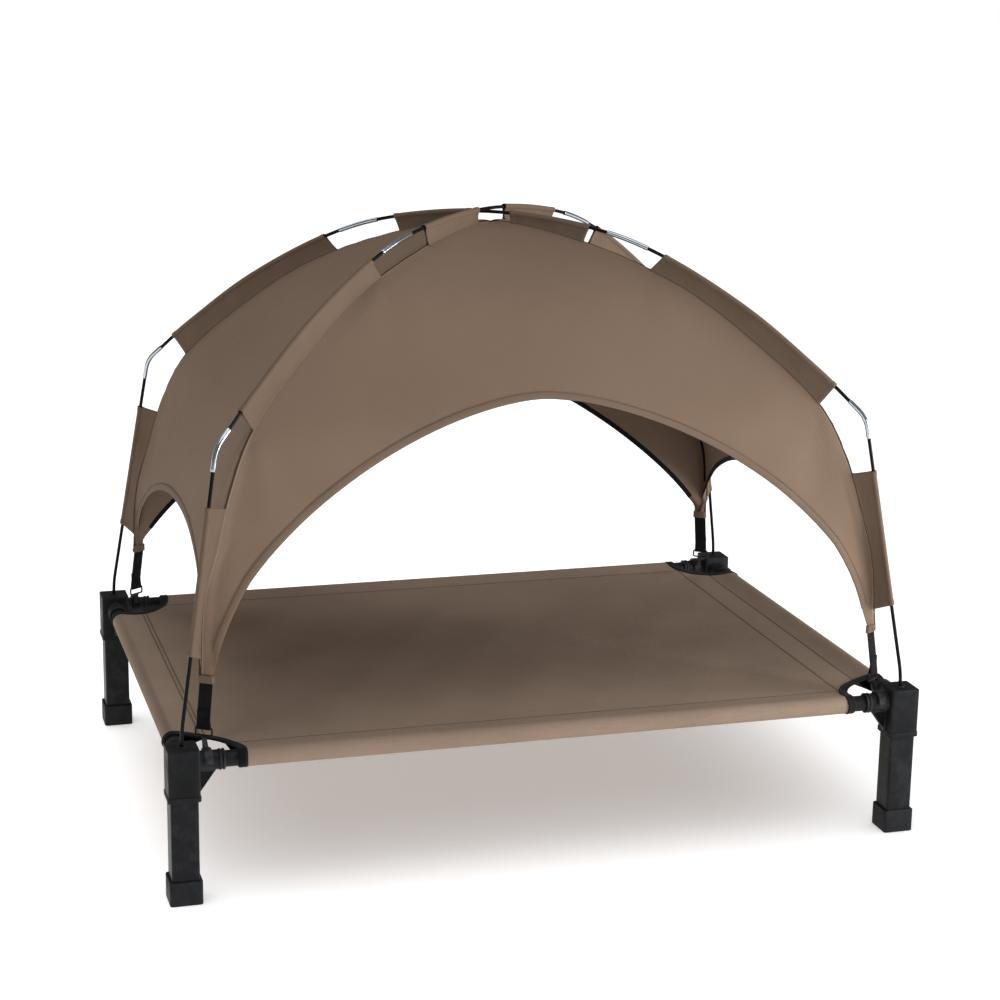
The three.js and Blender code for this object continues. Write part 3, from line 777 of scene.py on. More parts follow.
def connector_body():
    """Socket, skirt, walls, top, raised ring and pole hole, in one continuous surface."""
    ceiling = BODY_BOTTOM + LEG_PLUG + 0.35 * MM
    hole_bottom = BED_TOP - POLE_HOLE_DEPTH
    steps = [
        (2 * MM, 0.5 * MM, ceiling),
        (SOCKET_SIDE, SIDE_RADIUS, ceiling),
        (SOCKET_SIDE, SIDE_RADIUS, BODY_BOTTOM + 1 * MM),
        (SOCKET_SIDE + 1 * MM, SIDE_RADIUS, BODY_BOTTOM),
        *reversed(eased_edge(CAP_SIDE, SIDE_RADIUS + 1 * MM, BODY_BOTTOM, 0.7 * MM, -1)),
        *eased_edge(CAP_SIDE, SIDE_RADIUS + 1 * MM, BODY_BOTTOM + SKIRT_HEIGHT, 0.6 * MM, 1),
        (BODY_SIDE, SIDE_RADIUS, BODY_BOTTOM + SKIRT_HEIGHT),
        (BODY_SIDE, SIDE_RADIUS, BODY_BOTTOM + SKIRT_HEIGHT + 0.6 * MM),
        *eased_edge(BODY_SIDE, SIDE_RADIUS, BED_TOP, 1.3 * MM, 1),
    ]
    rings = square_rings(steps)
    ring_steps = [
        (7.4 * MM, BED_TOP),
        (7.0 * MM, BED_TOP + 0.3 * MM),
        (6.7 * MM, BED_TOP + 1.0 * MM),
        (6.3 * MM, BED_TOP + POLE_RING_HEIGHT),
        (4.3 * MM, BED_TOP + POLE_RING_HEIGHT),
        (POLE_HOLE_RADIUS, BED_TOP + 0.6 * MM),
        (POLE_HOLE_RADIUS, hole_bottom),
    ]
    return rings + round_rings(ring_steps, rings[0][:, :2])


def spigot_profile():
    """Distance from the body's side, and radius: barrel, double-ringed collar, plug."""
    ring = COLLAR_LENGTH * 0.4
    end = SPIGOT_LENGTH + COLLAR_LENGTH
    ease = 0.6 * MM
    profile = [(-2 * MM, SPIGOT_RADIUS), (SPIGOT_LENGTH - ease, SPIGOT_RADIUS)]
    for start in (SPIGOT_LENGTH, end - ring):
        profile += [
            (start, SPIGOT_RADIUS),
            (start + 0.2 * MM, COLLAR_RADIUS - ease),
            (start + ease + 0.2 * MM, COLLAR_RADIUS),
            (start + ring - ease - 0.2 * MM, COLLAR_RADIUS),
            (start + ring - 0.2 * MM, COLLAR_RADIUS - ease),
            (start + ring, SPIGOT_RADIUS),
        ]
    profile += [
        (end + 0.1 * MM, RAIL_RADIUS + 0.6 * MM),
        (end + 0.2 * MM, PLUG_RADIUS),
        (end + PLUG_LENGTH - 1 * MM, PLUG_RADIUS),
        (end + PLUG_LENGTH, PLUG_RADIUS - 1 * MM),
    ]
    return profile


def web_rings():
    """A triangular web under a spigot along +X, with a panel sunk into each side."""
    top = -SPIGOT_RADIUS + 3 * MM
    bottom = BODY_BOTTOM - RAIL_Z + SKIRT_HEIGHT
    half = WEB_THICKNESS / 2
    rings = []
    for inset, y in (
        (4.2, -half + 1 * MM), (3.5, -half + 0.9 * MM), (3.2, -half), (0.4, -half), (0, -half + 0.5 * MM),
        (0, half - 0.5 * MM), (0.4, half), (3.2, half), (3.5, half - 0.9 * MM), (4.2, half - 1 * MM),
    ):
        step = inset * MM
        rings.append([
            (step - 2 * MM, y, bottom + 2 * step),
            (step + 2 * MM, y, bottom + 2 * step),
            (WEB_REACH - 1.5 * step, y, top - 1.4 * step),
            (step - 2 * MM, y, top - 1.4 * step),
        ])
    return rings


def build_connector(corner):
    shells = Shells()
    shells.add([ring + (POST_X, POST_Y, 0) for ring in connector_body()])
    for along_x in (True, False):
        def arm(along, aside, up):
            out = BODY_SIDE / 2 + along
            if along_x:
                return (POST_X - out, POST_Y - aside, RAIL_Z + up)
            return (POST_X + aside, POST_Y - out, RAIL_Z + up)
        shells.add(lathe_rings(spigot_profile(), 48, arm))
        shells.add([[arm(*point) for point in ring] for ring in web_rings()])
    points, faces = oriented(shells, CORNERS[corner])
    return piece_with_edge_highlight(f"connector_{corner}", points, faces, "frame", "connector",
                      CONNECTOR_PLASTIC, f"corner_connector_{corner}")


def piece_with_edge_highlight(name, points, faces, body, slot, material, node):
    """A finished piece whose outside edges are marked for a painted highlight."""
    piece = mesh_object(name, points, faces)
    mark_edges(piece)
    return place(piece, body, slot, material, node)


def oriented(shells, signs):
    """The collected shells mirrored to a corner, their faces turned out group by group.

    Known fault: at front_right and back_left the mirrored faces start at
    their far end, so each pair of rings becomes a group of its own and some groups face inwards.
    """
    points, faces = shells.mirrored(signs)
    groups, owner = [], {}
    for face in faces:
        shell = owner.get(face[0])
        if shell is None:
            groups.append([])
            shell = len(groups) - 1
        groups[shell].append(face)
        owner.update((corner, shell) for corner in face)
    return points, [face for group in groups for face in outward(points, group)]


def build_leg(corner):
    wall = 2.2 * MM
    inner = LEG_SIDE - 2 * wall
    ease = 0.4 * MM
    steps = [
        (LEG_SIDE - 2 * ease, SIDE_RADIUS, LEG_BOTTOM),
        (LEG_SIDE, SIDE_RADIUS, LEG_BOTTOM + ease),
        (LEG_SIDE, SIDE_RADIUS, LEG_TOP - ease),
        (LEG_SIDE - 2 * ease, SIDE_RADIUS, LEG_TOP),
        (inner, 1.5 * MM, LEG_TOP),
        (inner, 1.5 * MM, LEG_BOTTOM),
    ]
    shells = Shells()
    shells.add_closed(post_rings(steps))
    points, faces = shells.mirrored(CORNERS[corner])
    return piece_with_edge_highlight(f"leg_tube_{corner}", points, outward(points, faces), f"leg_{corner}", "leg",
                      POWDER_COAT, f"leg_{corner}")


def build_foot_cap(corner):
    floor = LEG_BOTTOM - 0.35 * MM
    radius = SIDE_RADIUS + 1 * MM
    steps = [
        (2 * MM, 0.5 * MM, 1 * MM),
        (CAP_SIDE - 14 * MM, radius - 1.5 * MM, 1 * MM),
        (CAP_SIDE - 12 * MM, radius - 1 * MM, 0),
        *reversed(eased_edge(CAP_SIDE, radius, 0, 1.6 * MM, -1)),
        *eased_edge(CAP_SIDE, radius, CAP_HEIGHT, 1.2 * MM, 1),
        (SOCKET_SIDE + 0.8 * MM, SIDE_RADIUS, CAP_HEIGHT),
        (SOCKET_SIDE, SIDE_RADIUS, CAP_HEIGHT - 0.6 * MM),
        (SOCKET_SIDE, SIDE_RADIUS, floor),
        (2 * MM, 0.5 * MM, floor),
    ]
    shells = Shells()
    shells.add(post_rings(steps))
    points, faces = shells.mirrored(CORNERS[corner])
    return piece_with_edge_highlight(f"foot_{corner}", points, outward(points, faces), f"leg_{corner}", "foot",
                      FOOT_PLASTIC, f"foot_cap_{corner}")


def build_rail(side):
    """A round tube, open at both ends."""
    node = f"rail_{side}"
    low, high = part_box(node)
    middle = (low + high) / 2
    along_x = side in ("front", "back")
    reach = (high.x - low.x) / 2 if along_x else (high.y - low.y) / 2
    bore = RAIL_RADIUS - 1.5 * MM
    ease = 0.3 * MM
    profile = [
        (-reach, RAIL_RADIUS - ease), (-reach + ease, RAIL_RADIUS),
        (reach - ease, RAIL_RADIUS), (reach, RAIL_RADIUS - ease),
        (reach, bore), (-reach, bore),
    ]

    def spot(along, aside, up):
        if along_x:
            return (middle.x + along, middle.y - aside, middle.z + up)
        return (middle.x + aside, middle.y + along, middle.z + up)

    rings = np.array(lathe_rings(profile, 56, spot))
    faces = closed_faces(rings.shape[0], rings.shape[1])
    faces = outward(rings.reshape(-1, 3), faces)
    return piece_with_edge_highlight(f"rail_tube_{side}", rings, faces, "frame", "rail", POWDER_COAT, node)


# ---- Bed sheet --------------------------------------------------------------------------------

SHEET_TOP = 200 * MM
SHEET_THICKNESS = 1.0 * MM
SHEET_SAG = 5 * MM
HEM_RADIUS = 12.6 * MM
HEM_INSET = 37 * MM
SCOOP_RADIUS = 74.5 * MM
TAPE_REACH = 84 * MM
STITCH_LINES = (
    ("x", -POST_X + 35 * MM), ("x", -POST_X + 41 * MM),
    ("x", POST_X - 37 * MM), ("x", POST_X - 78 * MM),
    ("y", -POST_Y + 37 * MM), ("y", POST_Y - 37 * MM),
)


def hem_height(inward):
    """Height of the sheet's top above the rails' axis, this far in from a rail."""
    upper = math.radians(82)
    knee = HEM_RADIUS * math.cos(upper)
    flat = SHEET_TOP - RAIL_Z
    inward = np.asarray(inward, float)
    over = np.sqrt(np.maximum(HEM_RADIUS**2 - np.minimum(inward, knee) ** 2, 0))
    share = np.clip((inward - knee) / (HEM_INSET - knee), 0, 1)
    falling = share + 0.12 * np.sin(math.pi * share) * share
    slope = HEM_RADIUS * math.sin(upper) * (1 - falling) + flat * falling
    return np.where(inward < knee, over, slope)


def sheet_height(x, y):
    """Height of the sheet's top, with its sag and the soft folds that run in from the corners."""
    inward = np.minimum(POST_X - np.abs(x), POST_Y - np.abs(y))
    height = RAIL_Z + hem_height(inward)
    half_x, half_y = POST_X - HEM_INSET, POST_Y - HEM_INSET
    bowl = np.clip(1 - (x / half_x) ** 2, 0, 1) * np.clip(1 - (y / half_y) ** 2, 0, 1)
    height = height - SHEET_SAG * bowl ** 0.8
    for sign_x, sign_y in CORNERS.values():
        dx, dy = POST_X - sign_x * x, POST_Y - sign_y * y
        away = np.hypot(dx, dy)
        angle = np.arctan2(dy, dx)
        window = np.clip((away - SCOOP_RADIUS) / 40e-3, 0, 1) * np.exp(-(away - SCOOP_RADIUS) / 90e-3)
        fold = np.cos(11 * angle + 0.7 * sign_x) * np.sin(math.pi * np.clip(angle / (math.pi / 2), 0, 1))
        height = height + 1.1e-3 * window * fold
    ripple = np.sin(x * 23 + 1.3) * np.sin(y * 31 + 0.4) + 0.6 * np.sin(x * 47 - y * 29 + 2.0)
    return height + 0.35e-3 * ripple * np.clip(bowl * 3, 0, 1)


def hem_wrap():
    """The hem from the top of a rail, round its outside and back under the sheet.

    Returns (inward, height above the rail's axis, distance along the cloth)."""
    lower = math.radians(297)
    angles = np.linspace(math.pi / 2, lower, 26)[1:]
    points = [(HEM_RADIUS * math.cos(a), HEM_RADIUS * math.sin(a)) for a in angles]
    end = np.array((HEM_INSET, SHEET_TOP - RAIL_Z - 2.2 * MM))
    last = np.array(points[-1])
    points += [tuple(last + (end - last) * share) for share in np.linspace(0, 1, 7)[1:]]
    points = np.array(points)
    steps = np.linalg.norm(np.diff(np.vstack([(0, HEM_RADIUS), points]), axis=0), axis=1)
    return np.column_stack([points, np.cumsum(steps)])


def spaced(half, fine_width, fine_step, coarse_step):
    """Places from -half to half, closer together near both ends."""
    inner = half - fine_width
    coarse = np.linspace(-inner, inner, int(round(2 * inner / coarse_step)) + 1)
    count = round(fine_width / fine_step)
    fine = np.arange(1, count + 1) * fine_width / count
    return np.concatenate([-(inner + fine[::-1]), coarse, inner + fine])


class SheetMesh:
    """Points and faces of the bed sheet, and the loops of points round its corner cut-outs."""

    def __init__(self):
        self.points = []
        self.flat = []
        self.faces = []

    def add(self, point, flat):
        self.points.append(point)
        self.flat.append(flat)
        return len(self.points) - 1

    def quads(self, rows):
        for here, there in zip(rows, rows[1:]):
            for column in range(len(here) - 1):
                self.faces.append((here[column], here[column + 1], there[column + 1], there[column]))


def sheet_rows():
    """Places of the rows from front to back, closer together near the rails and cut-outs."""
    straight = spaced(POST_Y - SCOOP_RADIUS, 20 * MM, 5 * MM, 9 * MM)
    turns = np.linspace(0, math.pi / 2, 23)[1:]
    past = SCOOP_RADIUS * (1 - np.cos(turns))
    edge = POST_Y - SCOOP_RADIUS
    return np.concatenate([-(edge + past[::-1]), straight, edge + past])


def half_width(y):
    """How far the sheet reaches to each side in this row."""
    into = np.abs(y) - (POST_Y - SCOOP_RADIUS)
    rest = SCOOP_RADIUS - np.maximum(into, 0)
    return POST_X - np.where(into > 0, np.sqrt(np.maximum(SCOOP_RADIUS**2 - rest**2, 0)), 0)


def build_bed_sheet():
    sheet = SheetMesh()
    columns = spaced(1.0, 48 * MM / POST_X, 3.2 * MM / POST_X, 9 * MM / POST_X)
    rows = sheet_rows()
    grid = []
    for y in rows:
        xs = columns * half_width(y)
        heights = sheet_height(xs, np.full_like(xs, y))
        grid.append([sheet.add((x, y, z), (x, y)) for x, z in zip(xs, heights)])
    sheet.quads(grid)
    straight = [i for i, y in enumerate(rows) if abs(y) <= POST_Y - SCOOP_RADIUS + 1e-9]
    side_edges, end_edges = {}, {}
    for sign, last in ((1, -1), (-1, 0)):
        edge = [grid[i][last] for i in straight]
        side_edges[sign] = hem_strips(sheet, edge, rows[straight], POST_Y, sign > 0, lambda along, cloth: (
            (sign * (POST_X - cloth[0]), along, RAIL_Z + cloth[1]), (sign * (POST_X + cloth[2]), along)))
    for sign, last in ((1, -1), (-1, 0)):
        xs = columns * half_width(rows[last])
        end_edges[sign] = hem_strips(sheet, grid[last], xs, POST_X, sign < 0, lambda along, cloth: (
            (along, sign * (POST_Y - cloth[0]), RAIL_Z + cloth[1]), (along, sign * (POST_Y + cloth[2]))))
    return sheet, grid, rows, side_edges, end_edges


def hem_strips(sheet, edge, places, post, flipped, spot):
    """The hem along one rail: strips from the sheet's edge round the rail to under the sheet."""
    strips = [list(edge)]
    for cloth in hem_wrap():
        strips.append(hem_strip(sheet, places, post, cloth[0], lambda along: spot(along, cloth)))
    sheet.quads([strip[::-1] for strip in strips] if flipped else strips)
    return strips


def hem_strip(sheet, places, post, inward, spot):
    """One line of points along a hem, its ends drawn in to follow the round cut-out."""
    reach = post - math.sqrt(max(SCOOP_RADIUS**2 - inward**2, 0))
    scale = reach / places[-1]
    strip = []
    for along in places:
        point, flat = spot(along * scale)
        strip.append(sheet.add(point, flat))
    return strip


def cutout_edges(grid, rows, side_edges, end_edges):
    """For each corner, the line of points round its cut-out, from one hem's end to the other's."""
    edges = {}
    for corner, (sign_x, sign_y) in CORNERS.items():
        column = -1 if sign_x > 0 else 0
        place_in_strip = -1 if sign_y > 0 else 0
        side = [strip[place_in_strip] for strip in side_edges[sign_x]]
        curved = [i for i, y in enumerate(rows) if sign_y * y > POST_Y - SCOOP_RADIUS + 1e-9]
        if sign_y < 0:
            curved = curved[::-1]
        middle = [grid[i][column] for i in curved[:-1]]
        end = [strip[column] for strip in end_edges[sign_y]]
        edges[corner] = side[::-1] + middle + end
    return edges


# ---- Poles ------------------------------------------------------------------------------------

def swept(name, path, radii, sides=24):
    """A closed round bar along a path, with a map of the way round and along it."""
    path = np.asarray(path, float)
    rings = tube_rings(path, radii, sides)
    piece = mesh_object(name, rings, loft_faces(len(rings), sides))
    travel = travel_along(path)
    round_it = np.arange(sides) / sides * 2 * math.pi * np.max(radii)
    flat = [(around, along) for along in travel for around in round_it]
    cloth_map(piece, flat)
    return piece


def rounded_ends(path, radius, ease, steps=3):
    """The path with extra points at its ends, and radii that round them."""
    path = resample(path, 2.5 * MM)
    heading = directions(path)
    start, end = path[0], path[-1]
    first, last = [], []
    for step in range(steps):
        angle = math.pi / 2 * step / steps
        along, narrow = ease * (1 - math.cos(angle)), radius - ease * (1 - math.sin(angle))
        first.append((start + heading[0] * along, narrow))
        last.insert(0, (end - heading[-1] * along, narrow))
    inner = path[1:-1]
    points = [point for point, _ in first] + list(inner) + [point for point, _ in last]
    radii = [r for _, r in first] + [radius] * len(inner) + [r for _, r in last]
    return np.array(points), np.array(radii)


def pole_stretch(corner, start, end, spacing=2.5 * MM):
    count = max(3, int(round((end - start) / spacing)))
    return in_corner(pole_at(np.linspace(start, end, count), crossing_drop(corner)), corner)


POLE_STOPS = {
    "middle": POLE.place(0),
    "ferrule_inner": POLE.place(175 * MM),
    "ferrule_outer": POLE.place(235 * MM),
    "elbow_upper": POLE.place(531 * MM),
    "elbow_lower": POLE.place(561 * MM),
    "tip": POLE.length,
}
ELBOW_SOCKET = 12 * MM


def build_half_pole(corner):
    stops = POLE_STOPS
    joint = (stops["ferrule_inner"] + stops["ferrule_outer"]) / 2
    middle = pole_stretch(corner, joint + 0.5 * MM, stops["elbow_upper"] + ELBOW_SOCKET)
    lower = pole_stretch(corner, stops["elbow_lower"] - ELBOW_SOCKET, stops["tip"])
    for name, path, node in (
        (f"pole_middle_{corner}", middle, f"middle_rod_{corner}"),
        (f"pole_lower_{corner}", lower, f"lower_rod_{corner}"),
    ):
        piece = swept(name, *rounded_ends(path, ROD_RADIUS, 0.5 * MM))
        place(piece, "canopy", "rod", ROD_GLOSS, node)
    for name, start, end, node in (
        (f"ferrule_tube_{corner}", stops["ferrule_inner"], stops["ferrule_outer"], f"ferrule_{corner}"),
        (f"elbow_bend_{corner}", stops["elbow_upper"], stops["elbow_lower"], f"elbow_tube_{corner}"),
    ):
        build_bright_tube(name, pole_stretch(corner, start, end, 1.5 * MM), node)


def build_bright_tube(name, path, node):
    """A thin tube round the rod, rolled in a little at each end."""
    path = np.asarray(path)
    travel = travel_along(path)
    from_end = np.minimum(travel, travel[-1] - travel)
    radii = FERRULE_RADIUS - 0.35 * MM * np.clip(1 - from_end / (2.2 * MM), 0, 1) ** 1.5
    sides = 32
    outer = tube_rings(path, radii, sides)
    inner = tube_rings(path[::-1], ROD_RADIUS + 0.12 * MM, sides)
    across = outer[0][0] - path[0]
    rings = outer + matched(inner, across)
    points = np.array(rings).reshape(-1, 3)
    piece = mesh_object(name, points, outward(points, closed_faces(len(rings), sides)), 50)
    both = np.concatenate([travel, travel[::-1]])
    flat = [(side / sides * 2 * math.pi * FERRULE_RADIUS, along) for along in both for side in range(sides)]
    cloth_map(piece, flat)
    place(piece, "canopy", "bright_tube", BRIGHT_PLATE, node)


def matched(inner, across):
    """The inner rings, in the same turning direction and starting side as the outer ones."""
    inner = np.array(inner)
    flipped = inner[:, ::-1]
    start = flipped[0] - flipped[0].mean(axis=0)
    first = int(np.argmax(start @ unit(across)))
    return list(np.roll(flipped, -first, axis=1))


def build_top_pole(name, near, far):
    joint = (POLE_STOPS["ferrule_inner"] + POLE_STOPS["ferrule_outer"]) / 2 - 0.5 * MM
    one = pole_stretch(near, POLE_STOPS["middle"], joint)
    other = pole_stretch(far, POLE_STOPS["middle"], joint)
    path = np.vstack([one[::-1], other[1:]])
    piece = swept(f"pole_top_{name}", *rounded_ends(path, ROD_RADIUS, 0.5 * MM))
    place(piece, "canopy", "rod", ROD_GLOSS, f"top_rod_{name}")


# ---- Canopy -----------------------------------------------------------------------------------

CLOTH_THICKNESS = 0.7 * MM
PANEL_SAG = 6 * MM
FRONT_ARCH = {"half_width": 473 * MM, "height": 346 * MM, "power": 1.65, "tip": 9 * MM}
BACK_ARCH = {"half_width": 473 * MM, "height": 320 * MM, "power": 1.3, "rounding": 75 * MM}
ROUNDED_SPAN = 150 * MM
SIDE_ARCH = {"half_width": 330 * MM, "height": 157 * MM, "power": 2.1}
PANELS = (
    # name, arch, share of the diagonal along the panel and out from it, columns, 3-D place
    ("front", FRONT_ARCH, ACROSS[0], ACROSS[1], 72, lambda side, out, up: (side, -out, up)),
    ("right", SIDE_ARCH, ACROSS[1], ACROSS[0], 56, lambda side, out, up: (out, side, up)),
    ("back", BACK_ARCH, ACROSS[0], ACROSS[1], 72, lambda side, out, up: (-side, out, up)),
    ("left", SIDE_ARCH, ACROSS[1], ACROSS[0], 56, lambda side, out, up: (-out, -side, up)),
)
CANOPY_ROWS = 96
PANEL_CORNERS = (
    ("front_left", "front_right"), ("front_right", "back_right"),
    ("back_right", "back_left"), ("back_left", "front_left"),
)
SHORT_SIDES = (1, 3)
TIP_HALF_WIDTH = 9.2 * MM
TIP_INSET = 2.5 * MM
TIP_FADE = 36 * MM
TIP_RISE = 130 * MM
STRAP_TURN = math.radians(20)
TIP_TURN = math.tan(STRAP_TURN)
TIP_FLAT = 4 * MM  # how far above the tip the cloth already lies flat
SEAM_LEAN = 10.2 * MM
LEAN_TOP = 480 * MM
LEAN_DROP = 90 * MM
CROWN_OVERRUN = 142 * MM  # the panels' sag starts this far beyond the crown


def arch_side(arch, height):
    """How far from the middle the arch's edge is at this height."""
    share = np.clip((height - TIP_HEIGHT) / arch["height"], 0, 1)
    low = np.clip((height - TIP_HEIGHT) / TIP_RISE, 0, 1)
    side = arch["half_width"] * (1 - share ** arch["power"]) ** (1 / arch["power"])
    rounding = arch.get("rounding", 0) * np.exp(-((side / ROUNDED_SPAN) ** 2))
    return np.sqrt(np.maximum(side**2 - rounding**2, 0)) - arch.get("tip", 0) * (1 - low**2)


def reach_to_arch(arch, fan, along):
    """How far down the seam a line fanned out from the crown meets the arch's edge."""
    low, high = 0.05, SEAM.length
    for _ in range(40):
        middle = (low + high) / 2
        distance, height = SEAM.at(middle)
        if height > TIP_HEIGHT + arch["height"] or abs(fan) * distance * along >= arch_side(arch, height):
            low = middle
        else:
            high = middle
    return low


def canopy_columns():
    """For each column round the canopy: its panel, its fan from -1 to 1, and its reach."""
    columns = []
    for index, (_, arch, along, _, count, _) in enumerate(PANELS):
        for step in range(count):
            fan = math.sin(math.pi / 2 * (2 * step / count - 1))
            columns.append((index, fan, reach_to_arch(arch, fan, along)))
    return columns


def panel_points(index, fan, travel):
    """Points of one panel, this far down the seam's line."""
    _, _, along, out, _, to_place = PANELS[index]
    points = SEAM.at(travel)
    slope = SEAM.slope(travel)
    normal = unit(np.stack([-slope[..., 1], slope[..., 0] * out], -1))
    share = (travel + CROWN_OVERRUN) / (SEAM.length + CROWN_OVERRUN)
    sag = PANEL_SAG * (1 - fan**2) * np.sin(math.pi * np.minimum(1, share))
    side = fan * points[..., 0] * along
    outwards = points[..., 0] * out - normal[..., 0] * sag
    up = points[..., 1] - normal[..., 1] * sag
    return flat_tip(index, fan, points, np.stack(to_place(side, outwards, up), -1))


def tip_share(height):
    """0 up on the panels, and 1 where the cloth lies flat across its strap."""
    return eased(np.clip((TIP_HEIGHT + TIP_FADE - height) / (TIP_FADE - TIP_FLAT), 0, 1))


def seam_lean(height):
    """How far the seam has moved aside out of the diagonal plane, towards the short side."""
    return -SEAM_LEAN * eased(np.clip((LEAN_TOP - height) / LEAN_DROP, 0, 1))


def flat_tip(index, fan, seam, points):
    """Low down the seam leans to the short side; at its tip the cloth lies flat on its strap."""
    _, arch, along, _, _, _ = PANELS[index]
    corner = PANEL_CORNERS[index][1 if fan > 0 else 0]
    height = seam[..., 1]
    reach = seam[..., 0] * along
    width = np.maximum(reach - arch_side(arch, height), 1 * MM)
    across = np.clip((1 - abs(fan)) * reach / width, 0, 1)
    out, aside = to_corner(points, corner)
    aside = aside + seam_lean(height) * (1 - across)
    turned_under = index in SHORT_SIDES
    level_aside = (9 * MM if turned_under else 2 * TIP_HALF_WIDTH) * across - TIP_HALF_WIDTH
    behind = 3.4 * MM * np.sqrt(across) if turned_under else 0
    level_out = seam[..., 0] - TIP_INSET - TIP_TURN * level_aside - behind
    share = tip_share(height)
    return in_corner(
        np.stack([out + (level_out - out) * share, points[..., 2]], -1),
        corner,
        aside + (level_aside - aside) * share,
    )


def surface_normals(points):
    """Normals of a grid of points whose columns close on themselves."""
    down = np.gradient(points, axis=0)
    round_it = np.roll(points, -1, axis=1) - np.roll(points, 1, axis=1)
    normals = np.cross(down, round_it)
    size = np.linalg.norm(normals, axis=-1, keepdims=True)
    return normals / np.maximum(size, 1e-12)


def fold_fan(offset, ahead, normal, folds, reach, depth, phase):
    """Soft folds that fan out from one anchor point and die away."""
    sideways = np.cross(normal, ahead)
    along = offset @ ahead
    aside = np.einsum("...k,...k->...", offset, sideways)
    distance = np.hypot(along, aside)
    angle = np.arctan2(aside, along)
    swell = distance / reach * np.exp(1 - distance / reach)
    window = np.exp(-((angle / 1.25) ** 4))
    return depth * swell * window * np.cos(folds * angle + phase)


def canopy_relief(points, normals, columns, travel):
    """How far the cloth stands in or out of its smooth shape."""
    fan = np.array([abs(column[1]) for column in columns])
    seam_gap = (1 - fan)[None, :] * np.linalg.norm(points[..., :2], axis=-1)
    free = eased(np.clip(seam_gap / (45 * MM), 0, 1))
    x, y, z = np.moveaxis(points, -1, 0)
    relief = 1.1 * MM * np.sin(9 * x + 4 * z + 0.6) * np.sin(11 * y - 7 * z + 1.9)
    relief += 0.6 * MM * np.sin(23 * x - 13 * y + 5 * z)
    relief *= free
    for number, (corner, _) in enumerate(CORNERS.items()):
        for share, folds, reach, depth in (
            (490 * MM, 7, 75 * MM, 1.5 * MM),
            (240 * MM, 6, 60 * MM, 0.7 * MM),
            (586 * MM, 5, 80 * MM, 0.8 * MM),
        ):
            where = SEAM.place(share)
            anchor = in_corner(SEAM.at(where), corner)
            ahead = in_corner(SEAM.slope(where), corner)
            if share > 500 * MM:
                ahead = -ahead
            phase = 1.7 * number + 40 * share
            part = fold_fan(points - anchor, unit(ahead), normals, folds, reach, depth, phase)
            relief += part * np.clip(seam_gap / (14 * MM), 0, 1)
    pucker = np.sin(travel * 2 * math.pi / (13 * MM) + 2 * np.sin(travel * 37))
    relief += 0.3 * MM * pucker * np.exp(-seam_gap / (7 * MM)) * np.clip(travel / (90 * MM) - 0.5, 0, 1)
    shoulder = SEAM.at(SEAM.place(500 * MM))[1]
    crease = np.exp(-(((z - shoulder) / (26 * MM)) ** 2)) * np.exp(-seam_gap / (150 * MM))
    relief += 2.4 * MM * crease * free
    low = np.clip((560 * MM - z) / (120 * MM), 0, 1)
    valley = np.exp(-(((seam_gap - 18 * MM) / (7 * MM)) ** 2))
    relief -= 1.6 * MM * valley * low
    return relief * (1 - tip_share(z))


def canopy_grid():
    """The canopy as one sheet: rows run round it from the crown to the arches' edges."""
    columns = canopy_columns()
    shares = np.linspace(0, 1, CANOPY_ROWS + 1)[1:]
    points, travels = [], []
    for index, fan, reach in columns:
        travel = shares * reach
        points.append(panel_points(index, fan, travel))
        travels.append(travel)
    points = np.array(points).transpose(1, 0, 2)
    travels = np.array(travels).T
    normals = surface_normals(points)
    points = points + normals * canopy_relief(points, normals, columns, travels)[..., None]
    return columns, points, surface_normals(points), travels


def build_canopy(columns, points, travels):
    """One continuous sheet, with its four seams running down from the crown."""
    rows, count = points.shape[:2]
    crown = points[0].mean(axis=0) + (0, 0, 0.3 * MM)
    vertices = np.vstack([crown, points.reshape(-1, 3)])
    faces = []
    for column in range(count):
        following = (column + 1) % count
        faces.append((0, 1 + column, 1 + following))
        for row in range(rows - 1):
            low, high = 1 + row * count, 1 + (row + 1) * count
            faces.append((low + column, high + column, high + following, low + following))
    sheet = mesh_object("canopy_sheet", vertices, faces, 60)
    layer = sheet.data.uv_layers.new(name="Cloth")
    side_of = np.array([
        [fan * SEAM.at(travels[row, column])[0] * PANELS[index][2]
         for column, (index, fan, _) in enumerate(columns)] for row in range(rows)
    ])
    for face in sheet.data.polygons:
        face_columns = [(v - 1) % count for v in face.vertices if v > 0]
        last_of_panel = wraps_panel(face_columns, columns, count)
        for loop in face.loop_indices:
            vertex = sheet.data.loops[loop].vertex_index
            if vertex == 0:
                layer.data[loop].uv = (0, 0)
                continue
            row, column = divmod(vertex - 1, count)
            side = side_of[row, column]
            if last_of_panel is not None and column == last_of_panel:
                side = abs(side)
            layer.data[loop].uv = (side, travels[row, column])
    fan = np.array([abs(column[1]) for column in columns])
    gap = (1 - fan)[None, :] * np.linalg.norm(points[..., :2], axis=-1)
    attribute = sheet.data.attributes.new("seam", "FLOAT", "POINT")
    attribute.data.foreach_set("value", np.concatenate([[0], gap.ravel()]).astype(np.float32))
    thicken(sheet, CLOTH_THICKNESS)
    return sheet


def wraps_panel(face_columns, columns, count):
    """The column that belongs to the next panel, where a face ends at a seam."""
    for column in face_columns:
        before = (column - 1) % count
        if before in face_columns and columns[column][0] != columns[before][0]:
            return column
    return None


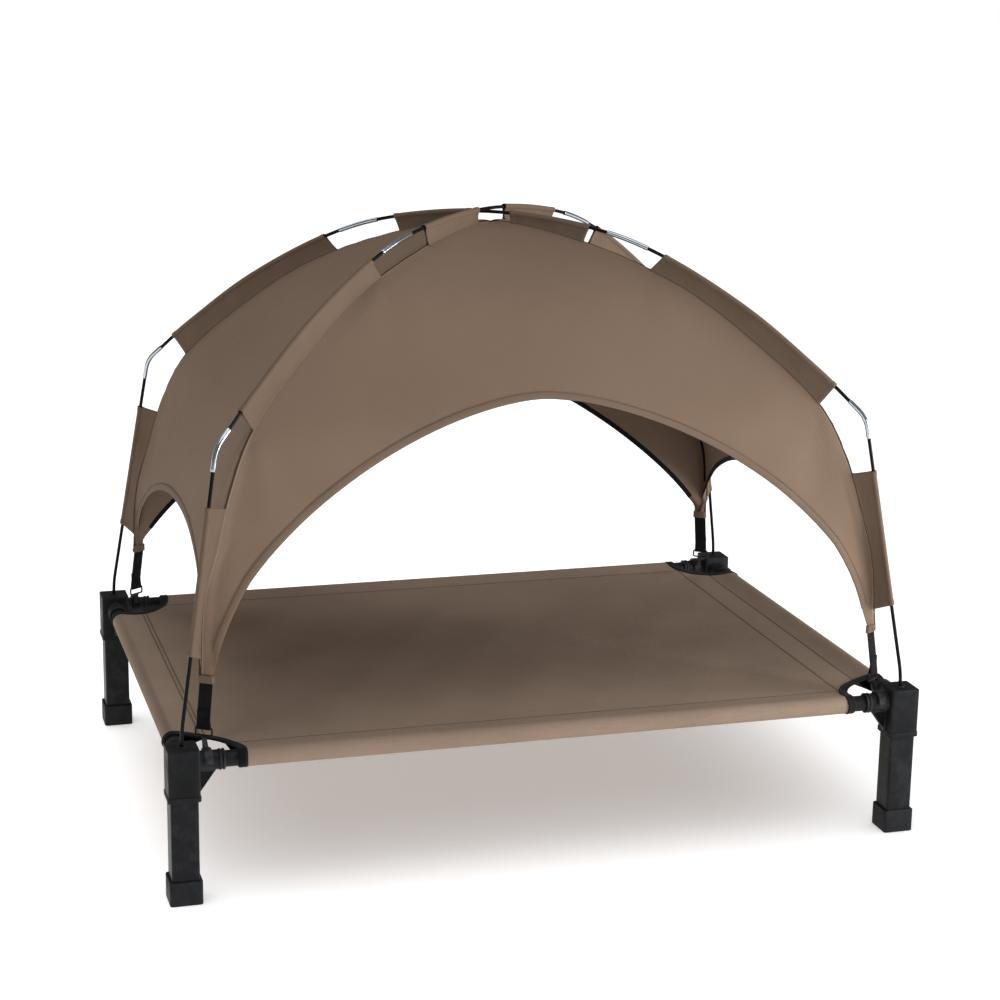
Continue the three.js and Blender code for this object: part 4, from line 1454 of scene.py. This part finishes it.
def strip_solid(name, outer, inner, flat, sharp=50):
    """A thin strip between two matching grids of points (rows along it, columns across)."""
    outer, inner = np.asarray(outer, float), np.asarray(inner, float)
    rows, columns = outer.shape[:2]
    rings = np.concatenate([outer, inner[:, ::-1]], axis=1)
    sides = 2 * columns
    points = rings.reshape(-1, 3)
    faces = outward(points, loft_faces(rows, sides))
    piece = mesh_object(name, points, faces, sharp)
    flat = np.asarray(flat, float)
    cloth_map(piece, np.concatenate([flat, flat[:, ::-1]], axis=1).reshape(-1, 2))
    return piece


HEM_WIDTH = 11 * MM
HEM_TAPE_WIDTH = 6.8 * MM


def panel_edge(index, columns, points, normals):
    """The arch edge of one panel, seam to seam: points, normals and inward directions."""
    own = [i for i, column in enumerate(columns) if column[0] == index]
    own.append((own[-1] + 1) % len(columns))
    edge = points[-1, own]
    out = normals[-1, own]
    inner = points[-3, own]
    inward = unit(np.cross(out, directions(edge)))
    facing = np.einsum("ij,ij->i", inner - edge, inward)
    inward[facing < 0] *= -1
    return edge, out, inward


def build_hem(index, columns, points, normals, stitching):
    """The turned-up hem of one arch, and the black tape that binds it inside."""
    name = PANELS[index][0]
    edge, out, inward = panel_edge(index, columns, points, normals)
    path = resample(np.hstack([edge, out, inward]), 4 * MM)
    edge = path[:, :3]
    out = unit(path[:, 3:6])
    inward = unit(path[:, 6:])
    travel = travel_along(edge)
    taper = np.clip(np.minimum(travel, travel[-1] - travel) / (60 * MM), 0.55, 1)
    depth = CLOTH_THICKNESS
    section = ((0.0, 0.25), (1.2, 0.75), (4, 0.95), (8, 0.85), (9.6, 0.45), (10.2, 0.4),
               (HEM_WIDTH / MM, 0.55))
    outer, inner, flat = [], [], []
    for along in range(len(edge)):
        shares = [s * MM * taper[along] for s, _ in section]
        base = [edge[along] + inward[along] * (s - 0.6 * MM) for s in shares]
        outer.append([b + out[along] * h * MM for b, (_, h) in zip(base, section)])
        inner.append([b + out[along] * 0.05 * MM for b in base])
        flat.append([(s, travel[along]) for s in shares])
    hem = strip_solid(f"canopy_hem_{name}", outer, inner, flat)
    place(hem, "canopy", "canopy_fabric", SHADED_HEM_CLOTH)
    high = edge[:, 2] > TIP_HEIGHT + 34 * MM
    edge, out, inward, travel, taper = (part[high] for part in (edge, out, inward, travel, taper))
    travel = travel - travel[0]
    tape_section = ((-0.9, 0.2), (-0.9, -0.6), (0.3, -1.35), (2.8, -1.6), (HEM_TAPE_WIDTH / MM, -1.35))
    cover, under, flat = [], [], []
    for along in range(len(edge)):
        shares = [s * MM * taper[along] for s, _ in tape_section]
        cover.append([edge[along] + inward[along] * s + out[along] * h * MM
                      for s, (_, h) in zip(shares, tape_section)])
        under.append([edge[along] + inward[along] * (max(s, -0.4 * MM) + 0.2 * MM)
                      + out[along] * (-depth - 0.05 * MM if h < 0 else 0.1 * MM)
                      for s, (_, h) in zip(shares, tape_section)])
        flat.append([(s, travel[along]) for s in shares])
    tape = strip_solid(f"hem_tape_{name}", cover, under, flat)
    place(tape, "canopy", "binding", BINDING_TAPE)
    line = edge + inward * (9.7 * MM * taper[:, None] - 0.6 * MM) + out * 0.45 * MM
    stitching.row(line, out)


SEAM_PANELS = {"front_right": (0, 1), "back_right": (1, 2), "back_left": (2, 3), "front_left": (3, 0)}


def panel_normal(index, travel):
    _, _, _, out, _, to_place = PANELS[index]
    slope = SEAM.slope(travel)
    return np.array(to_place(0, *unit(np.array([-slope[1], slope[0] * out]))))


def build_seam_tape(corner):
    """Black tape sewn over the inside of one diagonal seam."""
    half = 5 * MM
    near, far = CLOTH_THICKNESS + 0.5 * MM, CLOTH_THICKNESS + 1.1 * MM
    start, end_at = 22 * MM, SEAM.length - 62 * MM
    cover, under, flat = [], [], []
    for travel in np.arange(start, end_at, 5 * MM):
        distance, height = SEAM.at(travel)
        edges, normals = [], []
        for index, end in zip(SEAM_PANELS[corner], (1, -1)):
            arch, reach = PANELS[index][1], distance * PANELS[index][2]
            width = min(half, 0.85 * (reach - arch_side(arch, height)))
            edges.append(panel_points(index, end * (1 - width / reach), np.float64(travel)))
            normals.append(panel_normal(index, travel))
        middle = in_corner((distance, height), corner, seam_lean(height))
        normal = unit(normals[0] + normals[1])
        bend = max(0.35, float(normal @ normals[0]))
        for grid, depth in ((cover, far), (under, near)):
            fold = middle - normal * depth / bend
            grid.append([edges[0] - normals[0] * depth, fold, edges[1] - normals[1] * depth])
        flat.append([(-half, travel), (0, travel), (half, travel)])
    tape = strip_solid(f"seam_tape_{corner}", cover, under, flat)
    place(tape, "canopy", "binding", BINDING_TAPE)


# ---- Pole sleeves -----------------------------------------------------------------------------

SLEEVES = {
    "top": ((30 * MM, 148 * MM), (30 * MM, 140 * MM)),
    "middle": ((258 * MM, 510 * MM), (240 * MM, 490 * MM)),
    "lower": ((569.7 * MM, 606 * MM), (541.5 * MM, 581.85 * MM)),
}
SLEEVE_LOOP = 3.5 * MM
SLEEVE_HEM = 7 * MM


def sleeve_section(length):
    """Half of a sleeve's section, from the seam up to the top of the pole: (down, aside)."""
    gap = 0.55 * MM
    leave = math.radians(24)
    base = min(8 * MM, 0.3 * length)
    neck = min(2.6 * SLEEVE_LOOP, 0.62 * length)
    section = [
        (length + 1.3 * MM, 2.4 * MM),
        (length - 0.1 * base, 1.3 * MM),
        (length - 0.45 * base, 0.8 * MM),
        (length - base, gap),
    ]
    section += [(length - base + (neck - length + base) * share, gap) for share in (0.25, 0.5, 0.75, 1)]
    target = (SLEEVE_LOOP * math.cos(leave), SLEEVE_LOOP * math.sin(leave))
    for share in (0.35, 0.7):
        section.append((neck + (target[0] - neck) * share, gap + (target[1] - gap) * eased(share)))
    for step in range(9):
        angle = leave + (math.pi - leave) * step / 8
        section.append((SLEEVE_LOOP * math.cos(angle), SLEEVE_LOOP * math.sin(angle)))
    return section


def build_sleeve(kind, corner):
    """Cloth folded over the pole and sewn down to the seam, in two plies."""
    (pole_start, pole_end), (seam_start, seam_end) = SLEEVES[kind]
    pole_from, pole_to = POLE.place(pole_start), POLE.place(pole_end)
    seam_from, seam_to = SEAM.place(seam_start), SEAM.place(seam_end)
    length = pole_to - pole_from
    count = max(12, int(length / (4 * MM)))
    shares = np.linspace(0, 1, count + 1)
    hem_share = SLEEVE_HEM / length
    shares = np.sort(np.concatenate([
        shares, [0.3 * hem_share, hem_share * 0.9, hem_share * 1.05],
        1 - np.array([0.3 * hem_share, hem_share * 0.9, hem_share * 1.05]),
    ]))
    drop = crossing_drop(corner)
    seed = sum(map(ord, kind + corner))
    rings, flat = [], []
    for share in shares:
        pole = pole_at(pole_from + (pole_to - pole_from) * share, drop)
        seam = SEAM.at(seam_from + (seam_to - seam_from) * share)
        down = seam - pole
        lean = float(seam_lean(seam[1]))
        tall = np.linalg.norm(down)
        down /= tall
        section = sleeve_section(tall)
        travel = share * length
        from_end = min(travel, length - travel)
        swell = 0.45 * MM * (1 if from_end < SLEEVE_HEM else 0)
        wave = 0.9 * MM * math.sin(travel * 61 + seed) + 0.6 * MM * math.sin(travel * 137 + 2.3 * seed)
        ring, flats = [], []
        way = 0
        last = None
        for side in (-1, 1):
            half = section if side < 0 else section[-2::-1]
            for along, aside in half:
                into = min(1, max(0, along / tall))
                sway = wave * math.sin(math.pi * into) * min(1, from_end / (15 * MM) + 0.4)
                wide = (aside + swell) * side + sway + lean * into
                point = pole + down * (along - (swell if along < 0 else 0))
                ring.append(in_corner(point, corner, wide))
                here = np.array((along, aside * side))
                way += 0 if last is None else np.linalg.norm(here - last)
                last = here
                flats.append((way, travel))
        rings.append(ring)
        flat.append(flats)
    rings = np.array(rings)
    rows, columns = rings.shape[:2]
    faces = [
        (row * columns + column, row * columns + column + 1,
         (row + 1) * columns + column + 1, (row + 1) * columns + column)
        for row in range(rows - 1) for column in range(columns - 1)
    ]
    if CORNERS[corner][0] * CORNERS[corner][1] < 0:
        faces = [tuple(reversed(face)) for face in faces]
    sleeve = mesh_object(f"sleeve_{kind}_{corner}", rings, faces, 50)
    cloth_map(sleeve, np.array(flat).reshape(-1, 2))
    thicken(sleeve, 0.5 * MM)
    place(sleeve, "canopy", "canopy_fabric", SHADED_SLEEVE_CLOTH, f"{kind}_sleeve_{corner}")
    wide = float(np.mean([row[-1][0] for row in flat]))
    return sleeve


# ---- Straps and hooks -------------------------------------------------------------------------

STRAP_RADIUS = 585 * MM
STRAP_WIDTH = 19 * MM
STRAP_THICKNESS = 1.4 * MM
HOOK_BAR = 2.6 * MM
HOOK_SLOT_WIDTH = 21 * MM
HOOK_TOP = 229 * MM
HOOK_BOTTOM = 218.6 * MM
HOOK_WIDTH = 11.5 * MM
HOOK_WALL = 3.2 * MM


def strap_line():
    """The strap's line in the diagonal plane: down from the tip, round the hook's bar, and up."""
    bend = HOOK_BAR / 2 + STRAP_THICKNESS / 2 + 0.15 * MM
    front = STRAP_RADIUS + bend
    top = TIP_DISTANCE - TIP_INSET - 2.1 * MM
    points = [(top, TIP_HEIGHT + 8 * MM), (top, TIP_HEIGHT - 1 * MM)]
    points += [(top + (front - top) * s, TIP_HEIGHT - 1 * MM + (HOOK_TOP + 3 * MM - TIP_HEIGHT) * s)
               for s in np.linspace(0.1, 1, 12)]
    for step in range(1, 13):
        angle = -math.pi * step / 12
        points.append((STRAP_RADIUS + bend * math.cos(angle), HOOK_TOP + bend * math.sin(angle)))
    back = STRAP_RADIUS - bend
    end = (front - 1.15 * STRAP_THICKNESS, HOOK_TOP + 24 * MM)
    points += [(back + (end[0] - back) * (1 - (1 - s) ** 2.5), HOOK_TOP + 24 * MM * s)
               for s in np.linspace(0.08, 1, 11)]
    return np.array(points)


def turned(point, corner, aside):
    """A point of the strap or its ring, which face a little more to the front than the corner."""
    pivot = np.interp(point[1], (HOOK_TOP + 5 * MM, TIP_HEIGHT), (STRAP_RADIUS, TIP_DISTANCE - TIP_INSET))
    out = point[0] - pivot
    sin, cos = math.sin(STRAP_TURN), math.cos(STRAP_TURN)
    return in_corner((pivot + out * cos - aside * sin, point[1]), corner, out * sin + aside * cos)


def build_tip_band(corner):
    """The fold of cloth that closes a canopy tip over the end of its strap."""
    half, front, back = TIP_HALF_WIDTH + 0.3 * MM, 0.4 * MM, -4.2 * MM
    loop = [(0, back), (-half + 1 * MM, back), (-half, back + 1 * MM), (-half, front - 1 * MM)]
    loop += [(-half + 1 * MM, front), (-half / 2, front + 0.2 * MM), (0, front + 0.25 * MM)]
    loop += [(half / 2, front + 0.2 * MM), (half - 1 * MM, front), (half, front - 1 * MM)]
    loop += [(half, back + 1 * MM), (half - 1 * MM, back), (2 * MM, back), (-2 * MM, back - 0.7 * MM)]
    line = resample(np.array(loop), 1.6 * MM)
    ahead = directions(line)
    out = np.column_stack([-ahead[:, 1], ahead[:, 0]])
    travel = travel_along(line)
    levels = ((-1.2, 0.3), (-0.9, 0.7), (1.0, 0.5), (7.5, 0.45), (9.2, 0.55), (9.6, 0.2))
    outer, inner, flat = [], [], []
    for (aside, depth), (turn, rise), way in zip(line, out, travel):
        ring, lining = [], []
        for level, swell in levels:
            height = TIP_HEIGHT + level * MM
            base = np.array((TIP_DISTANCE - TIP_INSET + depth - TIP_TURN * aside, height))
            ring.append(in_corner(base + (rise * swell * MM, 0), corner, aside + turn * swell * MM))
            lining.append(in_corner(base, corner, aside))
        outer.append(ring)
        inner.append(lining)
        flat.append([(level * MM, way) for level, _ in levels])
    band = strip_solid(f"tip_band_{corner}", outer, inner, flat)
    place(band, "canopy", "canopy_fabric", SHADED_SLEEVE_CLOTH)


def build_strap(corner, stitching):
    line = resample(strap_line(), 2.2 * MM)
    ahead = directions(line)
    normal = np.column_stack([ahead[:, 1], -ahead[:, 0]])
    half = STRAP_THICKNESS / 2
    across = np.array([-1, -0.94, -0.5, 0, 0.5, 0.94, 1]) * STRAP_WIDTH / 2
    swell = np.array([0.35, 0.9, 1, 1, 1, 0.9, 0.35]) * half
    travel = travel_along(line)
    outer, inner, flat = [], [], []
    for point, out, way in zip(line, normal, travel):
        for grid, side in ((outer, 1), (inner, -1)):
            grid.append([turned(point + side * out * rise, corner, aside)
                         for rise, aside in zip(swell, across)])
        flat.append([(aside, way) for aside in across])
    strap = strip_solid(f"strap_web_{corner}", outer, inner, flat)
    place(strap, "canopy", "webbing", WEBBING, f"strap_{corner}")
    for height in (HOOK_TOP + 9 * MM, HOOK_TOP + 20 * MM):
        row = np.linspace(-0.4, 0.4, 14) * STRAP_WIDTH
        front = float(np.interp(height, line[:25, 1][::-1], line[:25, 0][::-1]))
        path = np.array([turned((front + half, height), corner, aside) for aside in row])
        out = np.tile(in_corner((1, 0), corner), (len(row), 1))
        stitching.row(path, out)


def rounded_loop(width, height, radius, steps=6):
    """The middle line of a rectangular ring with round corners: (aside, up) points."""
    points = []
    for sign_a, sign_b, start in ((1, 1, 0), (-1, 1, 90), (-1, -1, 180), (1, -1, 270)):
        middle = (sign_a * (width / 2 - radius), sign_b * (height / 2 - radius))
        for step in range(steps + 1):
            angle = math.radians(start + 90 * step / steps)
            points.append((middle[0] + radius * math.cos(angle), middle[1] + radius * math.sin(angle)))
    return points


def build_hook(corner):
    """A slotted ring for the webbing, a neck, and a saddle over the spigot."""
    shells = Shells()
    middle = (HOOK_TOP + HOOK_BOTTOM) / 2
    loop = rounded_loop(HOOK_SLOT_WIDTH + HOOK_BAR, HOOK_TOP - HOOK_BOTTOM, 2.2 * MM)
    path = [turned((STRAP_RADIUS, middle + up), "back_right", aside) for aside, up in loop]
    shells.add_closed(closed_tube_rings(np.array(path), HOOK_BAR / 2, 14))
    spot_x, spot_y = STRAP_RADIUS * ACROSS[0], STRAP_RADIUS * ACROSS[1]
    inside = SPIGOT_RADIUS + 0.45 * MM
    outside = inside + HOOK_WALL
    saddle = []
    for step in range(29):
        angle = math.pi * step / 28
        ring = []
        for radius, aside in rounded_bar(inside, outside, HOOK_WIDTH, 0.8 * MM):
            up, over = radius * math.sin(angle), radius * math.cos(angle)
            ring.append((spot_x + aside, POST_Y + over, RAIL_Z + up))
        saddle.append(ring)
    shells.add(saddle)
    shells.add(neck_rings(spot_x, spot_y, outside))
    points, faces = oriented(shells, CORNERS[corner])
    return piece_with_edge_highlight(f"strap_clip_{corner}", points, faces, "canopy", "hook",
                      HOOK_PLASTIC, f"strap_hook_{corner}")


def rounded_bar(inside, outside, width, ease):
    """A bar's section: (radius, aside) points of a rectangle with cut corners."""
    half = width / 2
    return [
        (inside, -half + ease), (inside + ease, -half), (outside - ease, -half), (outside, -half + ease),
        (outside, half - ease), (outside - ease, half), (inside + ease, half), (inside, half - ease),
    ]


def closed_tube_rings(path, radius, sides):
    """Rings round a closed flat loop."""
    ahead = unit(np.roll(path, -1, axis=0) - np.roll(path, 1, axis=0))
    centre = path.mean(axis=0)
    flat_normal = unit(np.cross(path[0] - centre, path[len(path) // 4] - centre))
    angles = np.arange(sides) * 2 * math.pi / sides
    rings = []
    for point, heading in zip(path, ahead):
        side = np.cross(heading, flat_normal)
        ring = np.outer(np.cos(angles), flat_normal) + np.outer(np.sin(angles), side)
        rings.append(point + radius * ring)
    return np.array(rings)


def neck_rings(spot_x, spot_y, outside):
    """The neck that joins the slotted ring to the saddle, narrowing upwards."""
    top = np.array((spot_y - POST_Y, HOOK_BOTTOM - RAIL_Z))
    foot_inner = np.array((-outside * 0.86, outside * 0.5))
    foot_outer = np.array((-outside * 0.3, outside * 0.9))
    rings = []
    for share in np.linspace(0, 1, 9):
        low = foot_inner + (top - (HOOK_BAR / 2, 0) - foot_inner) * eased(share)
        high = foot_outer + (top + (HOOK_BAR / 2, 0) - foot_outer) * eased(share)
        half = (HOOK_WIDTH - 3 * MM) / 2 * (1 - 0.25 * math.sin(math.pi * share))
        ease, cut = 0.6 * MM, 0.12
        ring = []
        for across, aside in (
            (0, -half + ease), (cut, -half), (1 - cut, -half), (1, -half + ease),
            (1, half - ease), (1 - cut, half), (cut, half), (0, half - ease),
        ):
            spot = low + (high - low) * across
            ring.append((spot_x + aside, POST_Y + spot[0], RAIL_Z + spot[1]))
        rings.append(ring)
    return rings


# ---- Binding tape round the sheet's cut-outs --------------------------------------------------

def build_cutout_tape(corner, points, edge, stitching):
    """Tape folded over the cloth's edge round one corner cut-out."""
    line = resample(np.array(points)[edge], 2.5 * MM)
    ahead = directions(line)
    signs = CORNERS[corner]
    post = np.array((signs[0] * POST_X, signs[1] * POST_Y))
    away = np.column_stack([line[:, :2] - post, np.zeros(len(line))])
    away = unit(away - ahead * np.einsum("ij,ij->i", away, ahead)[:, None])
    out = np.cross(ahead, away)
    if out[len(out) // 2][2] < 0:
        out = -out
    travel = travel_along(line)
    width = TAPE_REACH - SCOOP_RADIUS + 1.5 * MM
    top = [(width, 0.25), (width - 1 * MM, 0.75), (width * 0.6, 0.8), (width * 0.2, 1.0), (-0.5 * MM, 0.7)]
    turn = [(-1.2 * MM, -0.1), (-1.2 * MM, -0.9), (-0.5 * MM, -1.7)]
    under = [(width * 0.2, -2.0), (width * 0.6, -1.8), (width - 1 * MM, -1.75), (width, -1.3)]
    section = top + turn + under
    outer, inner, flat = [], [], []
    for point, toward, up, way in zip(line, away, out, travel):
        ring, lining, flats = [], [], []
        around = 0
        last = None
        for reach, rise in section:
            spot = np.array((reach, rise * MM))
            around += 0 if last is None else np.linalg.norm(spot - last)
            last = spot
            ring.append(point + toward * reach + up * rise * MM)
            inward = -0.55 if rise > 0 else 0.55
            tucked = max(reach, -0.5 * MM)
            lining.append(point + toward * tucked + up * (rise + inward if reach > 0 else rise * 0.5) * MM)
            flats.append((around, way))
        outer.append(ring)
        inner.append(lining)
        flat.append(flats)
    tape = strip_solid(f"corner_tape_{corner}", outer, inner, flat)
    place(tape, "frame", "binding", BINDING_TAPE)
    stitching.row(line + away * (width - 2.2 * MM) + out * 0.95 * MM, out)


# ---- Stage ------------------------------------------------------------------------------------

WORLD_LIGHT = 0.2
FLOOR_GLOW = 0.32
FLOOR_LIGHT = 2.2


def new_light(name, kind, power):
    data = bpy.data.lights.new(name, kind)
    data.energy = power
    light = bpy.data.objects.new(name, data)
    bpy.context.scene.collection.objects.link(light)
    return light


def area_light(name, place_at, target, size, power):
    light = new_light(name, "AREA", power)
    light.data.shape = "RECTANGLE"
    light.data.size, light.data.size_y = size
    light.location = place_at
    light.rotation_mode = "QUATERNION"
    light.rotation_quaternion = (Vector(target) - Vector(place_at)).to_track_quat("-Z", "Y")
    return light


def floor_light():
    """Soft light from straight above that falls on the floor alone, so that it stays white."""
    light = new_light("floor_light", "SUN", FLOOR_LIGHT)
    light.data.angle = math.radians(110)
    return light


def light_linking(light, piece, state):
    """Lets a light fall on one piece alone, or on everything but that piece."""
    linked = bpy.data.collections.new(light.name + "_linked")
    linked.objects.link(piece)
    light.light_linking.receiver_collection = linked
    linked.collection_objects[0].light_linking.link_state = state


def studio_world():
    """Even white light that lights the bed weakly, and looks plain white behind it."""
    world = bpy.data.worlds.new("studio")
    world.use_nodes = True
    tree = world.node_tree
    rays = tree.nodes.new("ShaderNodeLightPath")
    strength = tree.nodes.new("ShaderNodeMath")
    strength.operation = "MULTIPLY_ADD"
    strength.inputs[1].default_value = 1 - WORLD_LIGHT
    strength.inputs[2].default_value = WORLD_LIGHT
    tree.links.new(rays.outputs["Is Camera Ray"], strength.inputs[0])
    background = tree.nodes["Background"]
    background.inputs["Color"].default_value = (1, 1, 1, 1)
    tree.links.new(strength.outputs[0], background.inputs["Strength"])
    return world


def build_stage():
    floor = mesh_object("floor", [(-30, -30, 0), (30, -30, 0), (30, 30, 0), (-30, 30, 0)], [(0, 1, 2, 3)])
    look = Look("floor_paint", 0.9, Specular_IOR_Level=0.1, Base_Color=(0.9, 0.9, 0.905, 1),
                Emission_Color=(1, 1, 1, 1), Emission_Strength=FLOOR_GLOW)
    floor.data.materials.append(look.material)
    bpy.context.scene.world = studio_world()
    key = area_light("key", (1.85, -1.15, 0.66), (0.3, -0.3, 0.45), (0.9, 0.8), 45)
    area_light("back", (-1.2, 1.4, 3.2), (0, 0, 0.4), (2.0, 2.0), 16)
    area_light("top", (-0.3, -0.9, 3.3), (0, 0, 0.3), (3.0, 2.2), 30)
    sun = floor_light()
    light_linking(key, floor, "EXCLUDE")
    light_linking(sun, floor, "INCLUDE")
    bpy.context.scene.view_settings.view_transform = "Standard"


# ---- Build ------------------------------------------------------------------------------------

CONNECTOR_PLASTIC = black_plastic("connector_plastic", linear(15, 16, 18), 0.5, 0.03 * MM)
FOOT_PLASTIC = black_plastic("foot_plastic", linear(24, 25, 28), 0.6, 0.04 * MM)
HOOK_PLASTIC = black_plastic("hook_plastic", linear(9, 9, 10), 0.45, 0.02 * MM)
POWDER_COAT = powder_coat()
ROD_GLOSS = rod_gloss()
BRIGHT_PLATE = bright_plate()
CANOPY_CLOTH = canopy_cloth("canopy_cloth", seams=True)
# Darker copies of the canopy cloth: painted shade on the hems, and on the sleeves and tip bands.
SHADED_HEM_CLOTH = canopy_cloth("hem_cloth", 0.9)
SHADED_SLEEVE_CLOTH = canopy_cloth("sleeve_cloth", 0.78)
BED_CLOTH = bed_cloth()
BINDING_TAPE = ribbed_tape("binding_tape", linear(14, 14, 15), 1.3 * MM, 0.15 * MM)
WEBBING = ribbed_tape("webbing", linear(12, 12, 13), 2.2 * MM, 0.3 * MM, ribs_along=True)
DARK_THREAD = sewing_thread("dark_thread", linear(60, 50, 43))
BLACK_THREAD = sewing_thread("black_thread", linear(26, 26, 28))

for corner_name in CORNERS:
    build_connector(corner_name)
    build_leg(corner_name)
    build_foot_cap(corner_name)
for side_name in ("front", "back", "left", "right"):
    build_rail(side_name)

sheet_mesh, sheet_grid, sheet_places, side_hems, end_hems = build_bed_sheet()
bed = mesh_object("bed_cloth_sheet", sheet_mesh.points, sheet_mesh.faces, 60)
cloth_map(bed, sheet_mesh.flat)
thicken(bed, SHEET_THICKNESS)
place(bed, "frame", "bed_fabric", BED_CLOTH, "bed_sheet")

tape_stitches = Stitching()
for corner_name, corner_edge in cutout_edges(sheet_grid, sheet_places, side_hems, end_hems).items():
    build_cutout_tape(corner_name, sheet_mesh.points, corner_edge, tape_stitches)
place(tape_stitches.build("tape_stitches"), "frame", "binding", BLACK_THREAD)

bed_stitches = Stitching()
for axis, where in STITCH_LINES:
    across = POST_Y if axis == "x" else POST_X
    from_rail = (POST_X if axis == "x" else POST_Y) - abs(where)
    reach = across - math.sqrt(max(TAPE_REACH**2 - from_rail**2, (20 * MM) ** 2)) - 2 * MM
    along = np.arange(-reach, reach, 2 * MM)
    fixed = np.full_like(along, where)
    xs, ys = (fixed, along) if axis == "x" else (along, fixed)
    line = np.column_stack([xs, ys, sheet_height(xs, ys)])
    bed_stitches.row(line, np.tile((0.0, 0.0, 1.0), (len(line), 1)))
place(bed_stitches.build("bed_stitches"), "frame", "bed_fabric", DARK_THREAD)

for corner_name in CORNERS:
    build_half_pole(corner_name)
build_top_pole("upper", "front_left", "back_right")
build_top_pole("lower", "front_right", "back_left")

canopy_columns_list, canopy_points, canopy_normals, canopy_travels = canopy_grid()
canopy = build_canopy(canopy_columns_list, canopy_points, canopy_travels)
place(canopy, "canopy", "canopy_fabric", CANOPY_CLOTH,
      *[f"canopy_panel_{panel[0]}" for panel in PANELS])
canopy_stitches = Stitching()
for number in range(len(PANELS)):
    build_hem(number, canopy_columns_list, canopy_points, canopy_normals, canopy_stitches)
for corner_name in CORNERS:
    build_seam_tape(corner_name)
    for sleeve_kind in SLEEVES:
        build_sleeve(sleeve_kind, corner_name)
strap_stitches = Stitching()
for corner_name in CORNERS:
    build_hook(corner_name)
    build_strap(corner_name, strap_stitches)
    build_tip_band(corner_name)
place(canopy_stitches.build("canopy_stitches"), "canopy", "canopy_fabric", DARK_THREAD)
place(strap_stitches.build("strap_stitches"), "canopy", "webbing", BLACK_THREAD)

build_stage()
